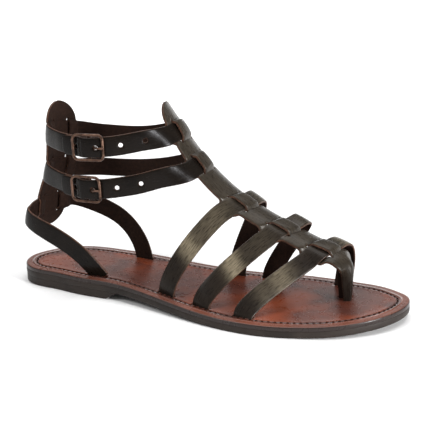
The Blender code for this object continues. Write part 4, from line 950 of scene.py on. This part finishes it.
def stitchMesh(name):
    # capsules along the channel: rings of a tapered section, repeated by one array sum
    ring = outlineRing(stitching["lineSamples"])
    line = ring + inwardOf(ring) * sole["channelInset"]
    line = np.vstack([line, line[:1]])
    run = travelled(line)
    count = int(run[-1] / stitching["pitch"])
    centres = (np.arange(count) + 0.5) * run[-1] / count
    ends = np.linspace(-1.0, 1.0, 7)
    radii = np.array([0.25, 0.8, 1.0, 1.0, 1.0, 0.8, 0.25]) * stitching["radius"]
    dive = np.array([1.0, 0.35, 0.0, 0.0, 0.0, 0.35, 1.0]) * stitching["radius"] * stitching["endDive"]
    a = np.linspace(0.0, 2.0 * np.pi, 8, endpoint=False)
    s = centres[:, None] + ends[None, :] * stitching["length"] / 2.0
    x, y = np.interp(s, run, line[:, 0]), np.interp(s, run, line[:, 1])
    z = topHeight(x) - stitching["sink"] - dive
    spineLine = np.stack([x, y, z], axis=-1)
    way = unitRows(np.gradient(spineLine, axis=1) * np.array([1.0, 1.0, 0.0]))
    side = np.stack([-way[..., 1], way[..., 0], np.zeros_like(way[..., 2])], axis=-1)
    up = np.array([0.0, 0.0, 1.0])
    verts = (spineLine[:, :, None] + side[:, :, None] * (np.cos(a) * radii[:, None])[None, :, :, None]
             + up * (np.sin(a) * radii[:, None])[None, :, :, None])
    rows, columns = len(ends), len(a)
    offsets = np.arange(count)[:, None, None] * rows * columns
    faces = (tubeFaces(rows, columns)[None] + offsets).reshape(-1, 4).tolist()
    faces += (np.array(capFaces(rows, columns))[None] + offsets).reshape(-1, columns).tolist()
    return turnOutwards(fillMesh(name, verts.reshape(-1, 3), faces))


stitchPiece = newPiece("insoleStitches", stitchMesh("insoleStitches"), "insole")
print("stitches sewn")


def makeTree(name):
    # a node material, its tree and its principled shader
    material = bpy.data.materials.new(name)
    material.use_nodes = True
    tree = material.node_tree
    return material, tree, tree.nodes["Principled BSDF"]


def feed(tree, socket, value):
    # links another node's output, or sets a plain value
    if isinstance(value, bpy.types.NodeSocket):
        tree.links.new(value, socket)
    else:
        socket.default_value = value


def addNode(tree, kind, settings=None, **inputs):
    # each input is linked or set; an underscore in its name stands for a space
    node = tree.nodes.new(kind)
    for key, value in (settings or {}).items():
        setattr(node, key, value)
    for key, value in inputs.items():
        feed(tree, node.inputs[key.replace("_", " ")], value)
    return node


def mixColour(tree, factor, first, second):
    # first colour at factor 0, second at factor 1
    node = addNode(tree, "ShaderNodeMix", {"data_type": "RGBA"})
    for place, value in ((0, factor), (6, first), (7, second)):
        feed(tree, node.inputs[place], value)
    return node.outputs[2]


def rangeOf(tree, value, low, high, toLow=0.0, toHigh=1.0):
    # the value's range low to high stretched to another, clipped at its ends
    node = addNode(tree, "ShaderNodeMapRange", None, Value=value, From_Min=low, From_Max=high,
                   To_Min=toLow, To_Max=toHigh)
    return node.outputs["Result"]


def calc(tree, operation, first, second=0.0):
    # one operation on two values
    node = addNode(tree, "ShaderNodeMath", {"operation": operation})
    feed(tree, node.inputs[0], first)
    feed(tree, node.inputs[1], second)
    return node.outputs[0]


def grainGroup():
    # pebbled grain: cell distance for the pebbles, two noises for pores and cloudy tone
    group = bpy.data.node_groups.new("leatherGrain", "ShaderNodeTree")
    group.interface.new_socket(name="Vector", in_out="INPUT", socket_type="NodeSocketVector")
    size = group.interface.new_socket(name="Size", in_out="INPUT", socket_type="NodeSocketFloat")
    size.default_value = 900.0
    for label in ("Height", "Cloud", "Streak"):
        group.interface.new_socket(name=label, in_out="OUTPUT", socket_type="NodeSocketFloat")
    enter = group.nodes.new("NodeGroupInput")
    leave = group.nodes.new("NodeGroupOutput")

    def noise(share, **values):
        # a noise whose scale is a share of the grain's size
        scale = calc(group, "MULTIPLY", enter.outputs["Size"], share)
        node = addNode(group, "ShaderNodeTexNoise", None, Vector=enter.outputs["Vector"],
                       Scale=scale, **values)
        return node.outputs["Fac"]

    cells = addNode(group, "ShaderNodeTexVoronoi", {"feature": "F1"}, Vector=enter.outputs["Vector"],
                    Scale=enter.outputs["Size"])
    pores = noise(0.45, Detail=4.0, Roughness=0.6)
    pebbles = calc(group, "MULTIPLY", cells.outputs["Distance"], 0.5)
    feed(group, leave.inputs["Height"], calc(group, "ADD", pebbles, pores))
    feed(group, leave.inputs["Cloud"], noise(0.05, Detail=3.0, Roughness=0.55))
    feed(group, leave.inputs["Streak"], noise(0.16, Detail=5.0, Roughness=0.7, Distortion=1.2))
    return group


grain = grainGroup()


def placeGrain(tree, size):
    # the shared grain on object coordinates, with a size of its own
    coords = tree.nodes.new("ShaderNodeTexCoord")
    node = tree.nodes.new("ShaderNodeGroup")
    node.node_tree = grain
    node.inputs["Size"].default_value = size
    tree.links.new(coords.outputs["Object"], node.inputs["Vector"])
    return node


def addBump(tree, shader, height, strength, distance):
    # the height as a bump on the shader's normal
    bump = addNode(tree, "ShaderNodeBump", None, Height=height, Strength=strength, Distance=distance)
    tree.links.new(bump.outputs["Normal"], shader.inputs["Normal"])


strapFinish = {
    "oiledStrap": {
        "dark": (0.0050, 0.0039, 0.0034, 1.0), "light": (0.0165, 0.0120, 0.0088, 1.0),
        "tint": (1.0, 0.96, 0.92, 1.0), "specular": 0.20, "roughness": (0.22, 0.38),
    },
    # a darker copy of the same strap leather with a cool specular tint: painted shade and a painted cool
    # highlight colour for the straps that face sideways
    "ankleStrap": {
        "dark": (0.0034, 0.0026, 0.0021, 1.0), "light": (0.0085, 0.0062, 0.0046, 1.0),
        "tint": (0.96, 0.96, 1.0, 1.0), "specular": 0.10, "roughness": (0.18, 0.30),
    },
    # worn is the rubbed edges' colour; the other tone on this line is the painted highlight and sheen
    # colour
    "worn": (0.060, 0.029, 0.017, 1.0), "streaksAndSheen": (0.20, 0.166, 0.112, 1.0),
    "grain": 1500.0, "drawn": (0.13, 1.0, 1.0), "bump": (0.35, 0.00010),
    # from low and high of a mask to low and high of its effect
    "streaks": (0.35, 0.70, 0.0, 0.65), "sheenStreakMask": (0.30, 0.62, 0.25, 1.0),
    "wearReach": (0.55, 1.0), "wearPatches": (0.35, 0.6, 0.25, 1.0), "gloss": (0.35, 0.65),
}
cloudRange = (0.3, 0.7)


def makeStrapLeather(name):
    # cloudy tone drawn out along the strap by its UV, a painted sheen of lighter streaks where highlights
    # fall, brown where worn
    finish = strapFinish[name]
    material, tree, shader = makeTree(name)
    detail = placeGrain(tree, strapFinish["grain"])
    tone = mixColour(tree, rangeOf(tree, detail.outputs["Cloud"], *cloudRange),
                     finish["dark"], finish["light"])
    along = addNode(tree, "ShaderNodeUVMap", {"uv_map": "leatherUV"})
    drawn = addNode(tree, "ShaderNodeVectorMath", {"operation": "MULTIPLY"})
    feed(tree, drawn.inputs[0], along.outputs["UV"])
    feed(tree, drawn.inputs[1], strapFinish["drawn"])
    streaksAndSheen = addNode(tree, "ShaderNodeTexNoise", None, Vector=drawn.outputs[0],
                     Scale=strapFinish["grain"], Detail=3.0).outputs["Fac"]
    tone = mixColour(tree, rangeOf(tree, streaksAndSheen, *strapFinish["streaks"]), tone, finish["light"])
    # the painted sheen: a lighter streaky tone where highlights fall, mixed in by its attribute
    pull = addNode(tree, "ShaderNodeAttribute", {"attribute_name": "paintedSheen"}).outputs["Fac"]
    paintedSheenMask = calc(tree, "MULTIPLY", pull, rangeOf(tree, streaksAndSheen, *strapFinish["sheenStreakMask"]))
    tone = mixColour(tree, paintedSheenMask, tone, strapFinish["streaksAndSheen"])
    edge = addNode(tree, "ShaderNodeAttribute", {"attribute_name": "edgeWear"}).outputs["Fac"]
    rubbed = calc(tree, "MULTIPLY", rangeOf(tree, edge, *strapFinish["wearReach"]),
                  rangeOf(tree, detail.outputs["Streak"], *strapFinish["wearPatches"]))
    feed(tree, shader.inputs["Base Color"], mixColour(tree, rubbed, tone, strapFinish["worn"]))
    gloss = calc(tree, "MULTIPLY", calc(tree, "ADD", detail.outputs["Streak"], streaksAndSheen), 0.5)
    roughness = rangeOf(tree, gloss, *strapFinish["gloss"], *finish["roughness"])
    feed(tree, shader.inputs["Roughness"], roughness)
    feed(tree, shader.inputs["Specular IOR Level"], finish["specular"])
    feed(tree, shader.inputs["Specular Tint"], finish["tint"])
    addBump(tree, shader, detail.outputs["Height"], *strapFinish["bump"])
    return material


plainFinish = {
    # each tone lies between dark and light by a mask of the grain; a roughness may have one too
    "fleshSide": {
        "grain": 2200.0, "mask": ("Streak", 0.30, 0.70), "roughness": 0.85, "specular": 0.15,
        "dark": (0.009, 0.0042, 0.0028, 1.0), "light": (0.024, 0.0105, 0.0062, 1.0),
        "bump": (0.7, 0.00018),
    },
    "cutEdge": {
        "grain": 2600.0, "mask": ("Streak", 0.35, 0.65), "roughness": 0.6, "specular": 0.3,
        "dark": (0.020, 0.009, 0.006, 1.0), "light": (0.13, 0.058, 0.034, 1.0),
        "bump": (0.5, 0.00012),
    },
    "soleEdge": {
        "grain": 1300.0, "mask": ("Cloud", 0.30, 0.70), "roughness": ("Streak", 0.42, 0.62),
        "dark": (0.014, 0.0095, 0.0075, 1.0), "light": (0.027, 0.0190, 0.0150, 1.0),
        "specular": 0.25, "bump": (0.4, 0.00012),
    },
    "buckleCopper": {
        "grain": 700.0, "mask": ("Streak", 0.35, 0.65), "roughness": ("Cloud", 0.26, 0.46),
        "dark": (0.040, 0.023, 0.016, 1.0), "light": (0.17, 0.098, 0.070, 1.0),
        "specular": 0.5, "metal": 0.9, "bump": (0.12, 0.00008),
    },
}


def makePlain(name):
    # the tone follows one mask of the grain, and the roughness is even or follows another
    finish = plainFinish[name]
    material, tree, shader = makeTree(name)
    detail = placeGrain(tree, finish["grain"])
    mask, low, high = finish["mask"]
    tone = mixColour(tree, rangeOf(tree, detail.outputs[mask], low, high),
                     finish["dark"], finish["light"])
    feed(tree, shader.inputs["Base Color"], tone)
    roughness = finish["roughness"]
    if isinstance(roughness, tuple):
        mask, low, high = roughness
        roughness = rangeOf(tree, detail.outputs[mask], *cloudRange, low, high)
    feed(tree, shader.inputs["Roughness"], roughness)
    feed(tree, shader.inputs["Specular IOR Level"], finish["specular"])
    feed(tree, shader.inputs["Metallic"], finish.get("metal", 0.0))
    addBump(tree, shader, detail.outputs["Height"], *finish["bump"])
    return material


insoleFinish = {
    "base": (0.125, 0.037, 0.023, 1.0), "deep": (0.070, 0.021, 0.014, 1.0),
    "amber": (0.215, 0.041, 0.011, 1.0), "rim": (0.15, 0.055, 0.036, 1.0),
    "channel": (0.030, 0.010, 0.007, 1.0), "edge": (0.020, 0.012, 0.010, 1.0),
    "grain": 1100.0, "roughness": (0.22, 0.38), "specular": 0.33, "coat": 0.15,
    "coatRoughness": 0.18, "bump": (0.04, 0.00005), "amberMask": (0.47, 0.66), "rimShare": 0.7,
    # distances from the edge or the channel, and the effect's share there
    "rimMask": (0.0045, 0.0065, 1.0, 0.0), "channelMask": (0.0005, 0.0013, 0.85, 0.0),
    "edgeMask": (0.0001, 0.0007, 1.0, 0.0),
}


def noiseOnObject(tree, **values):
    # a noise on object coordinates, from 0 to 1
    coords = tree.nodes.new("ShaderNodeTexCoord")
    node = addNode(tree, "ShaderNodeTexNoise", None, Vector=coords.outputs["Object"], **values)
    return node.outputs["Fac"]


def makeInsole():
    # glazed leather: amber patches from a slow noise, darker groove by distance from the edge
    material, tree, shader = makeTree("insoleGlazed")
    detail = placeGrain(tree, insoleFinish["grain"])
    slow = noiseOnObject(tree, Scale=26.0, Detail=3.0, Roughness=0.55)
    tone = mixColour(tree, rangeOf(tree, detail.outputs["Cloud"], *cloudRange),
                     insoleFinish["deep"], insoleFinish["base"])
    tone = mixColour(tree, rangeOf(tree, slow, *insoleFinish["amberMask"]), tone, insoleFinish["amber"])
    distance = addNode(tree, "ShaderNodeAttribute", {"attribute_name": "rimDistance"}).outputs["Fac"]
    rim = rangeOf(tree, distance, *insoleFinish["rimMask"])
    rim = calc(tree, "MULTIPLY", rim, insoleFinish["rimShare"])
    tone = mixColour(tree, rim, tone, insoleFinish["rim"])
    away = calc(tree, "ABSOLUTE", calc(tree, "SUBTRACT", distance, sole["channelInset"]))
    groove = rangeOf(tree, away, *insoleFinish["channelMask"])
    tone = mixColour(tree, groove, tone, insoleFinish["channel"])
    edge = rangeOf(tree, distance, *insoleFinish["edgeMask"])
    tone = mixColour(tree, edge, tone, insoleFinish["edge"])
    feed(tree, shader.inputs["Base Color"], tone)
    roughness = rangeOf(tree, detail.outputs["Streak"], *cloudRange, *insoleFinish["roughness"])
    feed(tree, shader.inputs["Roughness"], roughness)
    coat = rangeOf(tree, edge, 0.0, 1.0, insoleFinish["coat"], 0.0)
    feed(tree, shader.inputs["Coat Weight"], coat)
    feed(tree, shader.inputs["Coat Roughness"], insoleFinish["coatRoughness"])
    feed(tree, shader.inputs["Specular IOR Level"], insoleFinish["specular"])
    addBump(tree, shader, detail.outputs["Height"], *insoleFinish["bump"])
    return material


thread = {"dark": (0.008, 0.004, 0.003, 1.0), "light": (0.022, 0.010, 0.007, 1.0),
          "roughness": 0.8, "specular": 0.05}


def makeThread():
    # two dark tones mixed by a fine noise
    material, tree, shader = makeTree("waxedThread")
    wave = noiseOnObject(tree, Scale=2600.0, Detail=2.0)
    feed(tree, shader.inputs["Base Color"], mixColour(tree, wave, thread["dark"], thread["light"]))
    feed(tree, shader.inputs["Roughness"], thread["roughness"])
    feed(tree, shader.inputs["Specular IOR Level"], thread["specular"])
    return material


oiledStrap, ankleStrap = makeStrapLeather("oiledStrap"), makeStrapLeather("ankleStrap")
fleshSide, cutEdge = makePlain("fleshSide"), makePlain("cutEdge")
for piece in strapPieces:
    # the ankle straps and heel strap take the darker copy, painted shade for straps facing sideways
    face = ankleStrap if piece.name.startswith("ankle") or piece.name == "heelStrap" else oiledStrap
    for material in (face, fleshSide, cutEdge):
        piece.data.materials.append(material)
insolePiece.data.materials.append(makeInsole())
soleEdge = makePlain("soleEdge")
for piece in (outsolePiece, heelPiece):
    piece.data.materials.append(soleEdge)
buckleMetal = makePlain("buckleCopper")
for piece in bucklePieces:
    piece.data.materials.append(buckleMetal)
stitchPiece.data.materials.append(makeThread())

# the straps' slots, cut for good so that no modifier is left
cutter = addObject("slotCutter", slotCutter("slotCutter"))
cutter.data.materials.append(insolePiece.data.materials[0])
boolean = insolePiece.modifiers.new("slots", "BOOLEAN")
boolean.operation = "DIFFERENCE"
boolean.object = cutter
boolean.solver = "EXACT"
bpy.context.view_layer.update()
evaluated = insolePiece.evaluated_get(bpy.context.evaluated_depsgraph_get())
cutMesh = bpy.data.meshes.new_from_object(evaluated)
insolePiece.modifiers.clear()
insolePiece.data = cutMesh
bpy.data.objects.remove(cutter)
print("materials set, slots cut")

# camera matched to the photograph
view = {"azimuth": 22.363, "elevation": 16.581, "distance": 0.510263, "roll": -0.525, "lens": 71.386,
        "target": (0.138130, -0.009674, 0.054601)}


def placeCamera():
    # on a sphere round the target by azimuth and elevation, then rolled about its own axis
    a, e, r = (np.radians(view[k]) for k in ("azimuth", "elevation", "roll"))
    away = np.array([np.sin(a) * np.cos(e), -np.cos(a) * np.cos(e), np.sin(e)])
    place = np.array(view["target"]) + shift + away * view["distance"]
    right = unitRows(np.cross((0.0, 0.0, 1.0), away))
    up = np.cross(away, right)
    right, up = right * np.cos(r) + up * np.sin(r), up * np.cos(r) - right * np.sin(r)
    data = bpy.data.cameras.new("photoCamera")
    data.lens = view["lens"]
    data.sensor_width = 36.0
    data.clip_start = 0.01
    camera = addObject("photoCamera", data)
    camera.matrix_world = basisMatrix(right, up, away, place)
    bpy.context.scene.camera = camera


placeCamera()

studio = {"floorTone": 0.93, "floorHalf": 3.0, "floorDrop": 0.0002, "glow": (0.25, 1.0),
          "screenTone": 0.9, "screenY": 2.6, "screenZ": (-0.1, 0.7), "world": 0.30}


def stagePlane(name, corners, materialName, tone):
    # one quad with a pale material; its glow is white and set by whoever asks for it
    mesh = bpy.data.meshes.new(name)
    mesh.from_pydata(corners, [], [(0, 1, 2, 3)])
    material, tree, shader = makeTree(materialName)
    feed(tree, shader.inputs["Base Color"], (tone, tone, tone, 1.0))
    feed(tree, shader.inputs["Emission Color"], (1.0, 1.0, 1.0, 1.0))
    mesh.materials.append(material)
    return addObject(name, mesh), tree, shader


half = studio["floorHalf"]
floor, tree, shader = stagePlane("studioFloor", [(-half, -half, 0), (half, -half, 0),
                                                 (half, half, 0), (-half, half, 0)],
                                 "paleFloor", studio["floorTone"])
floor.location.z = -studio["floorDrop"]
shader.inputs["Roughness"].default_value = 0.9
# the far floor glows a little, as a lit studio sweep does, so no horizon shows
floorCoords = tree.nodes.new("ShaderNodeTexCoord")
floorParts = addNode(tree, "ShaderNodeSeparateXYZ", None, Vector=floorCoords.outputs["Object"])
feed(tree, shader.inputs["Emission Strength"], rangeOf(tree, floorParts.outputs["Y"], *studio["glow"]))

# white screen behind the sandal, seen over the floor's far edge and mirrored in the insole
far, (low, high) = studio["screenY"], studio["screenZ"]
screen, tree, shader = stagePlane("studioScreen", [(-4, far, low), (3, far, low), (3, far, high),
                                                   (-4, far, high)], "whiteScreen", studio["screenTone"])
shader.inputs["Emission Strength"].default_value = 1.0

world = bpy.data.worlds.new("studio")
bpy.context.scene.world = world
world.use_nodes = True
world.node_tree.nodes["Background"].inputs["Color"].default_value = (1.0, 1.0, 1.0, 1.0)
world.node_tree.nodes["Background"].inputs["Strength"].default_value = studio["world"]
bpy.context.scene.view_settings.view_transform = "Standard"

softboxes = {
    # place, aim, size, watts
    "keyTop": ((0.0, 0.25, 1.3), (0.0, 0.0, 0.04), (1.3, 1.3), 16.0),
    "sideLeft": ((-0.60, -0.70, 0.80), (0.0, 0.0, 0.05), (0.30, 0.30), 4.0),
    "frontRight": ((1.10, -0.34, 0.30), (0.0, 0.0, 0.09), (0.12, 0.6), 18.0),
}
for name, (place, aim, size, watts) in softboxes.items():
    data = bpy.data.lights.new(name, "AREA")
    data.shape = "RECTANGLE"
    data.size, data.size_y = size
    data.energy = watts
    light = addObject(name, data)
    away = unitRows(np.array(place) - np.array(aim))
    right = unitRows(np.cross((0.0, 0.0, 1.0), away))
    up = np.cross(away, right)
    light.matrix_world = basisMatrix(right, up, away, place)
print("camera, floor and light placed")

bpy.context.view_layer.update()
